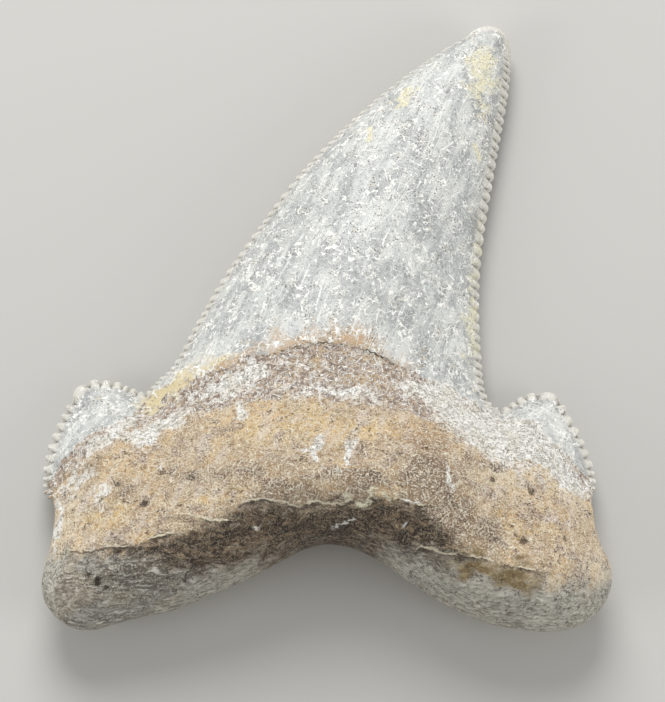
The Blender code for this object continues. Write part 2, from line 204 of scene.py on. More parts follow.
# The unevenness of the zones: which zone, height in mm, whether it runs along the crown, stretch,
# and its noise's size in mm, octaves and seed.
UNEVENNESS = (
    ("enamel", 0.1, False, (1, 1, 1), 5.5, 1, 41),
    ("enamel", 0.035, True, (1, 0.12, 0.5), 0.9, 1, 21),
    ("band", 0.11, False, (1, 1, 1), 1.1, 2, 51),
    ("bone", 0.2, False, (1, 1, 1), 3, 4, 61),
    ("basal", 0.16, False, (0.8, 0.3, 0.3), 0.7, 2, 31))
FLAKE_RISE = 0.15
FLAKE_FALL = 0.9
FLAKE_WIDTH = 0.25
FLAKE_STRETCH = (0.6, 1, 1)
FLAKE_NOISE = (2.4, 91)
# How wide and crooked the zones' edges are.
EDGE_WIDTH = 0.8
EDGE_WANDER = 0.5
EDGE_NOISE = (1.6, 11)
RIM_FADE = 1.6
LABIAL_SINK = 0.06
# The crown's lean in degrees, how far each octave of a noise falls, the number of slopes that a
# noise has, a shift that keeps its cells above 0, and how far held clouds spread about 0.5.
CROWN_LEAN = 24.0
OCTAVE_FALL = 0.55
LATTICE = 256
LATTICE_SHIFT = 1000
CLOUD_SPREAD = 0.1

# ---------------------------------------------------------------- grid

# Where opposite rows meet: the middle line of the crown and of each root lobe.
CROWN_SPINE = ((0, -24), (0.8, -9), (2.3, 3), (6.2, 14), (11.6, 24), (16.6, 31), (18.6, 33.9))
RIGHT_SPINE = ((0, -24), (8, -24.4), (15.5, -25.6), (22, -28.8), (27.3, -32.4))
LEFT_SPINE = ((0, -24), (-8, -24.1), (-15.5, -25.3), (-22, -28.3), (-27.5, -32.3))
TIP_SAMPLES = (18, 48)
CUSPLET_SIDE_SAMPLES = {"right": 39, "left": 33}
LOBE_SAMPLES = 249
THINNING = 3
SPINE_PACE = {"crown": 0.9, "lobe": 0.55}
LINGUAL_BAND = (0.06, 0.14, 0.25, 0.4, 0.6, 0.9, 1.3)
LABIAL_BAND = (0.1, 0.25, 0.5, 0.85, 1.3)
LINGUAL_ROWS = 71
LABIAL_ROWS = 44
NORMAL_PASSES = 60
BEAD_REACH = 14
CURVE_STEPS = 12
CHUNK = 4000


def smooth_curve(knots, steps=CURVE_STEPS):
    """A cubic through the knots on each span, its end slopes weighted by the chords on both sides."""
    p = np.asarray(knots, float)
    chord = np.diff(p, axis=0)
    h = np.linalg.norm(chord, axis=1)[:, None]
    slope = chord / h
    middle = (slope[:-1] * h[1:] + slope[1:] * h[:-1]) / (h[1:] + h[:-1])
    m = np.vstack([slope[:1], middle, slope[-1:]])
    t = np.linspace(0, 1, steps, endpoint=False)[None, :, None]
    start = (2 * t**3 - 3 * t**2 + 1) * p[:-1, None] + (t**3 - 2 * t**2 + t) * (h * m[:-1])[:, None]
    end = (3 * t**2 - 2 * t**3) * p[1:, None] + (t**3 - t**2) * (h * m[1:])[:, None]
    return np.vstack([(start + end).reshape(-1, p.shape[1]), p[-1:]])


def arc_lengths(path):
    """The distance along the path to each of its points."""
    return np.concatenate([[0], np.cumsum(np.linalg.norm(np.diff(path, axis=0), axis=1))])


def at_length(path, lengths):
    """Points at these distances along a path."""
    s = arc_lengths(path)
    return np.column_stack([np.interp(lengths, s, c) for c in path.T])


def smoothstep(t):
    """A smooth rise from 0 to 1 as t goes from 0 to 1: 3t^2 - 2t^3."""
    t = np.clip(t, 0, 1)
    return t * t * (3 - 2 * t)


def rounded(t):
    """A quarter circle's rise from 0 to 1."""
    return np.sqrt(1 - (1 - np.clip(t, 0, 1))**2)


def from_segments(points, start, end):
    """Distances from points to straight segments."""
    step = end - start
    offset = points - start
    t = np.clip((offset * step).sum(-1) / (step * step).sum(-1), 0, 1)
    return np.linalg.norm(offset - t[..., None] * step, axis=-1)


def distance(points, *lines):
    """The distance from each point to the nearest of the lines, a chunk of points at a time."""
    paths = [smooth_curve(line) for line in lines]
    return np.concatenate([
        np.min([from_segments(points[first:first + CHUNK, None], path[:-1], path[1:]).min(axis=1)
                for path in paths], axis=0)
        for first in range(0, len(points), CHUNK)])


def denticle_bounds(name, length):
    """Where each denticle of a stretch starts: they are uneven, and the widest are midway."""
    count = DENTICLES[name]
    random = np.random.default_rng(count)
    place = (np.arange(count) + 0.5) / count
    width = 1 + MIDDLE_SWELL * np.sin(math.pi * place)
    width *= 1 + DENTICLE_SPREAD * random.uniform(-1, 1, count)
    if name in BROAD_DENTICLES:
        broad, factor = BROAD_DENTICLES[name]
        width[broad] *= factor
    bounds = np.concatenate([[0], np.cumsum(width)])
    return bounds * length / bounds[-1]


def serrated(path, name):
    """Samples of a serrated stretch: middle line, how far each stands out, and the bead's profile.

    Each denticle is a rounded bead: over a phase from 0 to 1 its profile is sin(pi phase)^p, and
    it stands out by the profile less a half, times its own rise.
    """
    bounds = denticle_bounds(name, arc_lengths(path)[-1])
    width = np.diff(bounds)[:, None]
    phase = np.arange(DENTICLE_SAMPLES[name]) / DENTICLE_SAMPLES[name]
    lengths = bounds[:-1, None] + width * phase
    profile = np.sin(math.pi * phase)**DENTICLE_POWER
    share = np.linspace(*DENTICLE_RISE[name], len(width))[:, None]
    rise = share * np.minimum(width, BROADEST_RISE) * (profile - 0.5)
    return at_length(path, lengths.ravel()), rise.ravel(), np.tile(profile, len(width))


def plain(path, count):
    """Even samples of a smooth stretch, without its last point."""
    lengths = np.arange(count) * arc_lengths(path)[-1] / count
    return at_length(path, lengths), np.zeros(count), np.ones(count)


def cut(line, *knots):
    """The smooth curve through a line's knots, cut into stretches at some of them."""
    curve = smooth_curve(line)
    ends = [0, *(CURVE_STEPS * knot for knot in knots), len(curve) - 1]
    return [curve[start:end + 1] for start, end in zip(ends, ends[1:])]


def rim_samples():
    """The outline's samples, clockwise from the left notch, joined up from all its stretches."""
    left, left_tip, right_tip, right = cut(CROWN, LEFT_TIP_KNOT, APEX_KNOT, RIGHT_TIP_KNOT)
    right_side, right_lobe, left_lobe, left_side = cut(
        ROOT_SIDES, RIGHT_LOBE_KNOT, ARCH_KNOT, LEFT_LOBE_KNOT)
    stretches = [
        serrated(left, "crown left"), plain(left_tip, TIP_SAMPLES[0]),
        plain(right_tip, TIP_SAMPLES[1]), serrated(right, "crown right"),
        serrated(smooth_curve(CUSPLET_RIGHT), "cusplet right"),
        plain(right_side, CUSPLET_SIDE_SAMPLES["right"]), plain(right_lobe, LOBE_SAMPLES),
        plain(left_lobe, LOBE_SAMPLES), plain(left_side, CUSPLET_SIDE_SAMPLES["left"]),
        serrated(smooth_curve(CUSPLET_LEFT), "cusplet left")]
    return [np.concatenate(values) for values in zip(*stretches)]


def outward_normals(line):
    """Unit normals of the closed clockwise line, averaged along it so that corners fan out."""
    tangent = np.roll(line, -1, axis=0) - np.roll(line, 1, axis=0)
    normal = np.column_stack([-tangent[:, 1], tangent[:, 0]])
    normal /= np.linalg.norm(normal, axis=1)[:, None]
    for _ in range(NORMAL_PASSES):
        normal = (np.roll(normal, 1, axis=0) + 2 * normal + np.roll(normal, -1, axis=0)) / 4
    return normal / np.linalg.norm(normal, axis=1)[:, None]


def spine_points(knots, count, pace):
    """Points along one arm of the middle line: at fraction t of the rows, t^pace of its length."""
    path = smooth_curve(knots)
    return at_length(path, arc_lengths(path)[-1] * np.linspace(0, 1, count + 1)**pace)


class Grid:
    """The plan of the surface: rows of points from the outline to the middle line, and their faces.

    Vertices are numbered along the outline, then row by row for the lingual and the labial sheet,
    then along the three arms of the middle line, which the two sheets have each.
    """

    def __init__(self):
        self.line, self.rise, self.bead = rim_samples()
        self.normal = outward_normals(self.line)
        self.rim = self.line + self.normal * self.rise[:, None]
        self.coarse = np.arange(0, len(self.rim), THINNING)
        crown = DENTICLES["crown left"] * DENTICLE_SAMPLES["crown left"] + TIP_SAMPLES[0]
        self.crown_rows = crown // THINNING
        self.lobe_rows = LOBE_SAMPLES // THINNING
        self.spine, self.spine_index = self.middle_line()
        self.points = [self.rim]
        self.sheet = [np.zeros(len(self.rim))]
        self.faces = []
        self.bands = []
        self.add_sheet(LINGUAL_BAND, LINGUAL_ROWS, 1)
        self.add_sheet(LABIAL_BAND, LABIAL_ROWS, -1)
        self.points = np.vstack(self.points)
        self.sheet = np.concatenate(self.sheet)

    def middle_line(self):
        """Points of the three arms, and which of them each coarse column of the outline ends at."""
        crown = spine_points(CROWN_SPINE, self.crown_rows, SPINE_PACE["crown"])
        right = spine_points(RIGHT_SPINE, self.lobe_rows, SPINE_PACE["lobe"])
        left = spine_points(LEFT_SPINE, self.lobe_rows, SPINE_PACE["lobe"])
        points = np.vstack([crown, right[1:], left[1:]])
        up = np.arange(self.crown_rows)
        along_right = np.concatenate([[0], self.crown_rows + np.arange(1, self.lobe_rows + 1)])
        along_left = np.concatenate([[0], along_right[-1] + np.arange(1, self.lobe_rows + 1)])
        index = np.concatenate([up, self.crown_rows - up, along_right[:-1], along_right[:0:-1],
                                along_left[:-1], along_left[:0:-1]])
        return points, index

    def add_rows(self, points, side):
        """Append a block of vertices and return the number of its first one."""
        first = sum(len(block) for block in self.points)
        self.points.append(points)
        self.sheet.append(np.full(len(points), side))
        return first

    def add_faces(self, columns, side):
        """Append faces given as corner arrays in lingual order, turned over on the labial sheet."""
        corners = np.column_stack(columns)
        self.faces.append(corners[:, ::side])

    def join_rows(self, lower, upper, side):
        """Append the faces between two rows that run round the tooth with as many points each."""
        self.add_faces((lower, upper, np.roll(upper, -1), np.roll(lower, -1)), side)

    def add_sheet(self, band, rows, side):
        """One face of the tooth: fine columns in the band by the rim, then one column in three.

        In the band a point is the outline's middle line moved in by its depth, with the denticles
        fading out. Inside it is the straight line from the band's last row to the middle line.
        """
        count = len(self.rim)
        previous = np.arange(count)
        depths = np.array(band[:-1])[:, None, None]
        fade = 1 - smoothstep(depths / band[-1])
        block = self.line + self.normal * (self.rise[:, None] * fade - depths)
        first = self.add_rows(block.reshape(-1, 2), side)
        self.bands.append((first, np.array(band[:-1])))
        for row in range(len(depths)):
            current = first + row * count + np.arange(count)
            self.join_rows(previous, current, side)
            previous = current
        edge = self.line[self.coarse] - self.normal[self.coarse] * band[-1]
        self.add_inner_rows(edge, previous, rows, side)

    def add_inner_rows(self, edge, previous, rows, side):
        """The coarse rows of a sheet, from its edge to the middle line."""
        target = self.spine[self.spine_index]
        share = (np.arange(rows) / rows)[:, None, None]
        first = self.add_rows((edge + (target - edge) * share).reshape(-1, 2), side)
        spine_first = self.add_rows(self.spine, side)
        count = len(edge)
        current = first + np.arange(count)
        following = np.roll(current, -1)
        a, b, c = (previous[offset::THINNING] for offset in range(THINNING))
        d = np.roll(a, -1)
        self.add_faces((a, current, b), side)
        self.add_faces((b, current, following, c), side)
        self.add_faces((c, following, d), side)
        for row in range(1, rows):
            self.join_rows(current, current + count, side)
            current = current + count
        self.join_rows(current, spine_first + self.spine_index, side)


# ---------------------------------------------------------------- heights


def line_height(line, x):
    """The Y of a line that runs from left to right, at each x."""
    line = smooth_curve(line)
    return np.interp(x, line[:, 0], line[:, 1])


def share_above(points, line, width, push=0):
    """The share of each point that is above a line: a smoothstep over this width about it."""
    x, y = points[:, :2].T
    return smoothstep((y - line_height(line, x) + push) / width + 0.5)


def crown_lens(x, y):
    """Height of the crown over its cutting edges: (1 - u^2)^p, with u from -1 to 1 across it."""
    left, _, right = cut(CROWN, LEFT_TIP_KNOT, RIGHT_TIP_KNOT)
    left = np.vstack([LENS_LEFT_END, left])
    right = np.vstack([right, LENS_RIGHT_END])[::-1]
    low, high = (np.interp(y, side[:, 1], side[:, 0]) for side in (left, right))
    across = (2 * x - low - high) / np.maximum(high - low, 1)
    rise = np.interp(y, *np.array(CROWN_RISE).T)
    return rise * np.maximum(1 - across**2, 0)**CROWN_FULLNESS


def edge_height(x, y):
    """Height of the outline: low along the cutting edges, and higher round the root and its arch."""
    root = smoothstep((ROOT_EDGE_START - y) / ROOT_EDGE_BLEND)
    arch = ARCH_EDGE_RISE * np.exp(-(x / ARCH_HALF_WIDTH)**2)
    return CUTTING_EDGE_HEIGHT + root * (ROOT_EDGE_HEIGHT - CUTTING_EDGE_HEIGHT + arch)


def crest_height(x, y):
    """Height of the root: h (1 - fall (v / reach)^p), with v the way up from the crest line."""
    crest = smooth_curve(CREST)
    crest_y, top = (np.interp(x, crest[:, 0], crest[:, i]) for i in (1, 2))
    above = np.maximum(y - crest_y, 0)
    return top * (1 - CREST_FALL * (above / CREST_REACH)**CREST_POWER)


def bead_cover(grid):
    """How far each point is up the rounding of the denticles, from 0 on the rim to 1 inside.

    It is a quarter circle over the distance to the nearest of the rim's nearby sides.
    """
    cover = np.ones(len(grid.points))
    count = len(grid.rim)
    cover[:count] = 0
    for first, depths in grid.bands:
        block = grid.points[first:first + len(depths) * count].reshape(-1, count, 2)
        nearest = np.full(block.shape[:2], np.inf)
        for shift in range(-BEAD_REACH, BEAD_REACH):
            start, end = (np.roll(grid.rim, -shift - i, axis=0) for i in (0, 1))
            nearest = np.minimum(nearest, from_segments(block, start, end))
        cover[first:first + nearest.size] = rounded(nearest.ravel() / BEAD_ROUNDING)
    return cover


def above_lines(points, lines):
    """The distance in mm to the nearest of the lines, which is below 0 under it."""
    nearest = np.full(len(points), np.inf)
    for line in lines:
        away = distance(points, line)
        away = np.where(points[:, 1] < line_height(line, points[:, 0]), -away, away)
        nearest = np.where(np.abs(away) < np.abs(nearest), away, nearest)
    return nearest


def low_relief(points, ridge):
    """Enamel over a bare band, lips along the ridges, and broad lumps, as in the solid.

    The step at the foot of the enamel is full in the middle and fades towards the cusplets. A lip
    is a bell curve over the distance to the ridge, wide above it and narrow below.
    """
    x, y = points.T
    on_enamel = share_above(points, ENAMEL_FOOT, LEDGE_WIDTH)
    on_band = share_above(points, BAND_FOOT, BAND_BLEND) * (1 - on_enamel)
    start, end = LEDGE_FADE_SPAN
    ledge = 1 - LEDGE_FADE * smoothstep((np.abs(x - LEDGE_MIDDLE) - start) / (end - start))
    height = (ENAMEL_THICKNESS * on_enamel - BAND_DEPTH * on_band) * ledge
    height += RIDGE_LIP * np.exp(-(ridge / np.where(ridge > 0, *RIDGE_WIDTHS))**2)
    for lump_x, lump_y, radius, rise in LUMPS:
        height += rise * np.exp(-((x - lump_x)**2 + (y - lump_y)**2) / radius**2)
    return height


def base_surface(grid, ridge):
    """Points of the smooth tooth: the height of either face over the plan of the grid.

    The lingual face is the edge height plus the crown's lens and the root's crest, blended by a
    power mean, times a quarter circle round the root. The labial face falls from the edge to 0.
    """
    points = grid.points
    x, y = points.T
    edge = edge_height(x, y)
    cutting = distance(points, CROWN, CUSPLET_LEFT, CUSPLET_RIGHT)
    root_side = distance(points, ROOT_SIDES)
    wedge = 1 - (1 - np.clip(cutting / WEDGE_WIDTH, 0, 1))**2
    bead = BEAD_HALF_THICKNESS * bead_cover(grid) - denticle_grooves(grid)
    root = np.maximum(crest_height(x, y) - edge, 0) * wedge
    body = (crown_lens(x, y)**BLEND_POWER + root**BLEND_POWER)**(1 / BLEND_POWER)
    fade = smoothstep(cutting / RELIEF_FADE) * smoothstep(root_side / RELIEF_FADE)
    body += low_relief(points, ridge) * fade
    lingual = edge + bead + body * rounded(root_side / ROOT_ROUNDING)
    labial = (edge - bead) * (1 - wedge * rounded(root_side / LABIAL_ROOT_ROUNDING))
    z = np.choose(grid.sheet.astype(int) + 1, (np.maximum(labial, 0), edge, lingual))
    return np.column_stack([points, z]), cutting, root_side


def denticle_grooves(grid):
    """Depth of the grooves that run in from the notches between denticles, in the rim's bands."""
    depth = np.zeros(len(grid.points))
    count = len(grid.rim)
    for first, depths in grid.bands:
        fade = smoothstep(depths / GROOVE_START) * (1 - smoothstep(depths / GROOVE_REACH))
        cover = (GROOVE_DEPTH * (1 - grid.bead) * fade[:, None]).ravel()
        depth[first:first + len(cover)] = cover
    return depth


# ---------------------------------------------------------------- relief


def gradient_noise(points, size, seed):
    """Noise of about -0.7 to 0.7, with bumps of this size in mm.

    Each corner of a lattice has a seeded unit slope, and the slopes' heights at a point are blended
    by the quintic 6t^5 - 15t^4 + 10t^3 along each axis.
    """
    random = np.random.default_rng(seed)
    slopes = random.normal(size=(LATTICE, 3))
    slopes /= np.linalg.norm(slopes, axis=1)[:, None]
    shuffled = np.tile(random.permutation(LATTICE), 3)
    place = points / size + LATTICE_SHIFT
    cell = np.floor(place).astype(int)
    offset = place - cell
    blend = offset**3 * (offset * (offset * 6 - 15) + 10)
    total = np.zeros(len(points))
    for corner in np.ndindex(2, 2, 2):
        i, j, k = ((cell + corner) % LATTICE).T
        slope = slopes[shuffled[shuffled[shuffled[i] + j] + k]]
        weight = np.prod(np.where(corner, blend, 1 - blend), axis=1)
        total += weight * ((offset - corner) * slope).sum(1)
    return total


def rough_noise(points, size, octaves, seed):
    """A sum of gradient noises, each half the size and a set share of the height of the last."""
    return sum(OCTAVE_FALL**i * gradient_noise(points, size / 2**i, seed + i) for i in range(octaves))


def held_cloud(points, size, octaves, seed):
    """A rough noise for the finish to draw on: about 0.5, with a set standard deviation."""
    noise = rough_noise(points, size, octaves, seed)
    return 0.5 + CLOUD_SPREAD * noise / noise.std()


def leaning(points):
    """The points turned so that Y runs along the crown."""
    lean = math.radians(CROWN_LEAN)
    return points @ np.array([[math.cos(lean), math.sin(lean), 0],
                              [-math.sin(lean), math.cos(lean), 0], [0, 0, 1]])


def zones(points, sheet):
    """The share of each zone at each point, on either face, by name."""
    lingual = sheet >= 0
    wander = EDGE_WANDER * gradient_noise(points, *EDGE_NOISE)
    enamel = np.where(lingual, share_above(points, ENAMEL_FOOT, LEDGE_WIDTH),
                      share_above(points, LABIAL_FOOT, LEDGE_WIDTH, wander))
    band = lingual * share_above(points, BAND_FOOT, EDGE_WIDTH, wander) * (1 - enamel)
    basal = lingual * (1 - share_above(points, BASAL_TOP, EDGE_WIDTH, 2 * wander))
    stained = lingual * (1 - share_above(points, BROWN_TOP, EDGE_WIDTH))
    return {"enamel": enamel, "band": band, "bone": np.maximum(1 - enamel - band, basal),
            "basal": basal, "stained": stained}


def pores(points, sheet, share, count):
    """Seeded round pores of the root: the deepest of 1 - (d / r)^2 over all of them."""
    random = np.random.default_rng(PORE_SEED)
    places = random.uniform(*PORE_FIELD, (count, 2))
    radii = random.uniform(*PORE_RADIUS, count)
    depth = np.zeros(len(points))
    for first in range(0, len(points), CHUNK):
        offset = points[first:first + CHUNK, None] - places
        square = (offset**2).sum(-1) / radii**2
        depth[first:first + CHUNK] = np.maximum(1 - square, 0).max(axis=1, initial=0)
    return depth * share * np.where(sheet == 0, 0, 1)


def pits(points, sheet):
    """The large pits of the lingual face: the deepest of depth (1 - (d / r)^2)^p over them all.

    The distance d is taken from points pushed about by a noise, so that no pit is round.
    """
    deepest = np.zeros(len(points))
    push = [PIT_PUSH * gradient_noise(points, PIT_NOISE_SIZE, seed) for seed in PIT_SEEDS]
    for x, y, radius, depth in PITS:
        square = ((points[:, 0] + push[0] - x)**2 + (points[:, 1] + push[1] - y)**2) / radius**2
        deepest = np.maximum(deepest, depth * np.maximum(1 - square, 0)**PIT_POWER)
    return deepest * (sheet > 0)


def vertex_normals(points, faces):
    """Unit normals of the vertices: the sum of the cross products of each face's diagonals."""
    normal = np.zeros_like(points)
    for corners in faces:
        a, b, c = (points[corners[:, i]] for i in (0, 1, 2))
        d = points[corners[:, -1]]
        cross = np.cross(c - a, d - b) if corners.shape[1] == 4 else np.cross(b - a, c - a)
        for column in corners.T:
            np.add.at(normal, column, cross)
    return normal / np.maximum(np.linalg.norm(normal, axis=1), 1e-9)[:, None]


def weathered(grid, points, cutting, inset, settings):
    """The smooth tooth moved along its normals by its fine relief, and how dark its pits are.

    The enamel swells gently with wrinkles along the crown, the band and the bone are lumpy, the
    basal face is fibrous, the stained face steps down between flakes, and cracks, pits and pores
    are cut in, as is the crease along the cutting edges. All of it fades out at the rim. On the
    labial face it is only ever cut in, so that the tooth still lies on that face.
    """
    shares = zones(points, grid.sheet)
    flakes = np.abs(gradient_noise(points * FLAKE_STRETCH, *FLAKE_NOISE))
    crack = distance(points[:, :2], *CRACKS)
    pore = pores(points[:, :2], grid.sheet, shares["bone"], settings.pore_count)
    pit = pits(points, grid.sheet)
    relief = np.zeros(len(points))
    for zone, rise, along_crown, stretch, *noise in UNEVENNESS:
        place = leaning(points) if along_crown else points
        relief += shares[zone] * rise * rough_noise(place * stretch, *noise)
    relief += shares["stained"] * (FLAKE_RISE - FLAKE_FALL * np.minimum(flakes, FLAKE_WIDTH))
    relief -= CRACK_DEPTH * np.exp(-(crack / CRACK_WIDTH)**2) * (grid.sheet > 0)
    relief -= CREASE_DEPTH * np.exp(-((cutting - CREASE_INSET) / CREASE_WIDTH)**2)
    relief -= PORE_DEPTH * pore + pit
    relief *= settings.relief * smoothstep(inset / RIM_FADE)
    relief = np.where(grid.sheet < 0, np.minimum(relief - LABIAL_SINK, 0), relief)
    moved = points + vertex_normals(points, grid.faces) * relief[:, None]
    moved[:, 2] = np.maximum(moved[:, 2], 0)
    return moved, np.maximum(pit / DARK_PIT_DEPTH, PORE_SHADE * pore)


# ---------------------------------------------------------------- colours and stage

ENAMEL_GREY = "#b1b3b2"
ENAMEL_PALE = "#cbcdca"
ENAMEL_SHADE = "#8e908f"
ENAMEL_WHITE = "#e6e7e1"
BEAD_CREAM_AND_HIGHLIGHT = "#e2ded2"
BEAD_SHADE = "#7b776e"
MINERAL_WHITE = "#f6f5ef"
PEPPER_GREY = "#77746a"
ROSE = "#bd9b70"
CREAM = "#e9e4c8"
CREAM_SHADE = "#cdc6a4"
CREAM_TAN = "#dcc89b"
RUST = "#7d6a49"
RUST_PALE = "#a3926f"
BAND_DARK = "#a99687"
BAND_BROWN = "#bda891"
BAND_TAN = "#c0a98a"
BAND_SHADE = "#6e5e52"
BAND_PALE = "#e2dad2"
ROOT_TAN = "#b9a182"
ROOT_WARM = "#d0b184"
ROOT_MAUVE = "#9d8a82"
ROOT_YELLOW = "#dcbd80"
ROOT_OCHRE = "#a97f50"
ROOT_LIGHT = "#dfcfb1"
ROOT_PAINTED_SHADE = "#6f5b4c"
ROOT_LILAC = "#dccfc6"
ROOT_PALE = "#f2e8d2"
ROOT_SHADE = "#8a7357"
PORE_BROWN = "#54473b"
STAIN_BROWN = "#5b493a"
STAIN_LIGHT = "#867158"
STAIN_DARK_AND_SHADE = "#30261e"
STAIN_PALE = "#b5a78e"
BASAL_GREY = "#9e998f"
BASAL_TAN = "#b0a591"
BASAL_PALE = "#dbd7cb"
BASAL_DARK = "#635c51"
CRUST_WHITE = "#f1efe8"
CRUST_TAN = "#d6cab8"
CRUST_GREY = "#979084"
CHALK_AND_PAINTED_LIGHT = "#d1ccbe"
CREST_PALE_AND_HIGHLIGHT = "#e9dfc4"
CRACK_AND_SHADOW_BROWN = "#3f3226"
PAPER_GREY = "#c2c1bd"

# Places and sizes in mm. The floor is a little under the tooth, so that the two don't flicker.
CAMERA_TARGET = (0.6, -4.1, 3)
CAMERA_ELEVATION = 70.0
KEY_PLACE = (-30, 320, 330)
KEY_SIZE = 320
FILL_PLACES = ((-290, -150, 130), (290, -150, 130))
FILL_SIZE = 220
WORLD_STRENGTH = 0.35
FLOOR_DROP = 0.2

# ---------------------------------------------------------------- stains

# The stains, and the patches of painted shade and painted light, each: x, y, half length, half width
# in mm, turn in degrees, strength.
STAINS_AND_PAINTED_LIGHT = {
    # These pale patches are partly chalky mineral, on the cusplets, and partly painted light, on the
    # rims and the right side of the root and along the basal face.
    "chalk_and_painted_light": (
        (17.5, -35.6, 9, 2.2, -8, 1), (26, -36.5, 5, 2.4, 10, 1.5), (30.8, -32.5, 2.2, 4.5, 0, 1.2),
        (26, -13, 3.5, 3.2, 0, 0.9), (-26.5, -12.5, 2.5, 2, 0, 0.7), (-31.5, -33, 4.5, 2, 80, 1.6),
        (20.5, -23, 6.5, 3.5, -10, 0.8), (26.5, -22.5, 5, 3.5, -40, 1),
        (-29.5, -25.5, 5.5, 2.5, 85, 1), (-15, -23.5, 6, 2.5, 15, 0.4),
        (10, -32.6, 4.5, 1, -32, 1.3), (-11, -33.2, 6, 0.9, 24, 1.1)),
    "cream": (
        (5.5, -26.2, 4.2, 0.45, -5, 0.8), (9.3, 27.1, 2.4, 0.9, 52, 1),
        (5.3, 21.7, 1.1, 0.7, 80, 1.1), (17.7, 20.5, 1.3, 0.8, 90, 0.8),
        (18.6, 30.5, 5.5, 2.2, 80, 0.75), (17, -1, 8, 1.2, 88, 0.65), (18.9, 11, 6, 0.9, 82, 0.6),
        (-18.6, -10.4, 4.2, 1.6, 32, 0.95), (-11.6, -7.2, 2.6, 0.7, 20, 0.6),
        (8.4, -0.6, 1.8, 0.7, 70, 0.4)),
    "rose": (
        (-4.2, -6.3, 4.6, 1.6, 8, 1.05), (2.6, -6, 4.2, 1.6, -5, 1.05),
        (-10.6, -8, 3.4, 1.4, 20, 1.05), (8, -8.4, 3, 1.4, -22, 0.75), (0.8, -4.4, 1.6, 1, 70, 0.75)),
    "ochre": (
        (25.8, -25.5, 3.6, 3, 0, 0.6), (10.8, -20.5, 3.6, 4.2, 20, 1),
        (-4.5, -16.8, 5, 1.3, 0, 0.6), (21.5, -27, 6, 2, -8, 0.5), (25.8, -17.2, 1.1, 0.8, 0, 0.7)),
    # These patches are painted shade: under the crest of the root, on the basal faces that turn from
    # the light, and on parts of the enamel.
    "painted_shade": (
        (5, -24.2, 9, 2, 0, 0.95), (11.5, -23.5, 4.4, 4.6, 0, 1.3),
        (14.5, -28.4, 4.8, 2.8, -25, 1.4), (-7, -23, 5, 2.2, 5, 1), (-4, -25.6, 4.5, 1.3, 0, 1.1),
        (-14.5, -22.8, 3.2, 1.8, 0, 0.95), (18.5, -22, 2.2, 1.2, 10, 0.8),
        (0.5, -28.4, 6.5, 1.7, 0, 1.3), (6.5, -2.5, 7, 3.5, 0, 1), (-3.5, 8.5, 4, 3, 60, 0.7),
        (-19.5, -33.4, 6, 1.9, 8, 1.2), (-22, -30.8, 4.5, 1.2, 0, 0.9),
        (1, -20.5, 3.5, 1.6, 0, 0.6), (-22.5, -23.8, 3.4, 1.6, 10, 0.8),
        (-27, -20.5, 2, 1, 40, 0.7), (-18.5, -17.5, 3, 1, 25, 0.6)),
    "rust": (
        (16.3, -33.2, 2.4, 0.8, 0, 1.5), (20.8, -34.3, 2.6, 1.1, -3, 1.5),
        (16.2, -31.6, 1.5, 0.4, 0, 1.1), (21.5, -32.4, 1.1, 0.4, -5, 1.1),
        (25.9, -17, 1.2, 0.7, -60, 1.1)),
    "yellow": (
        (-4.5, -17.2, 7.5, 2.6, 3, 1), (4.5, -18, 5, 2.4, -5, 0.8),
        (-11.5, -25.4, 4.5, 1.2, 12, 0.9), (-24.5, -26, 4.5, 2, 20, 0.7),
        (20.5, -27.8, 5.5, 1.3, -10, 0.8), (26.4, -21.6, 1.6, 1.2, 0, 0.7),
        (-18.2, -9.8, 4.6, 1.7, 32, 1.3), (-14.3, -8.2, 3.4, 1, 26, 1)),
    "crust": (
        (-9.8, -14.6, 1.6, 1.2, 0, 0.8), (-25.4, -23.8, 2, 1.5, 60, 0.75),
        (-27.6, -21.5, 2.4, 1.3, 50, 0.6), (-10.5, -10.4, 6, 1.5, 18, 1.1),
        (1.5, -13, 6.5, 1, -8, 0.9), (-0.8, -20.5, 2.6, 0.45, 88, 1.3),
        (2.3, -21.3, 2.4, 0.45, 75, 1.3), (-2.1, -20.7, 0.9, 0.5, 0, 1),
        (13.3, -22.5, 2.6, 0.5, 90, 1), (-30.4, -26, 5, 0.7, 92, 0.9),
        (13, -12.6, 5, 2.4, -26, 1.2), (20, -16.4, 7, 3.6, -25, 1.7),
        (26.5, -20.2, 4.5, 2, -32, 1.1), (22.5, -14.8, 3.2, 1.8, -25, 1.4),
        (-19.5, -15.6, 5, 1.7, 30, 0.95), (-12, -12.8, 4, 1, 15, 0.6),
        (-8, -29.3, 2.2, 0.8, 10, 0.5), (-18.6, -20.9, 0.7, 0.4, 0, 0.9),
        (-24.8, -15.8, 5, 1.4, 42, 0.95), (-29.3, -20.5, 2.5, 0.8, 60, 0.8)),
}
STAIN_PUSH = 1.8
STAIN_NOISE = (2.4, 3)
STAIN_SEEDS = (101, 111)
SOFT_STAINS_AND_PAINTED_LIGHT = ("chalk_and_painted_light", "rose", "ochre", "painted_shade", "yellow", "rust")

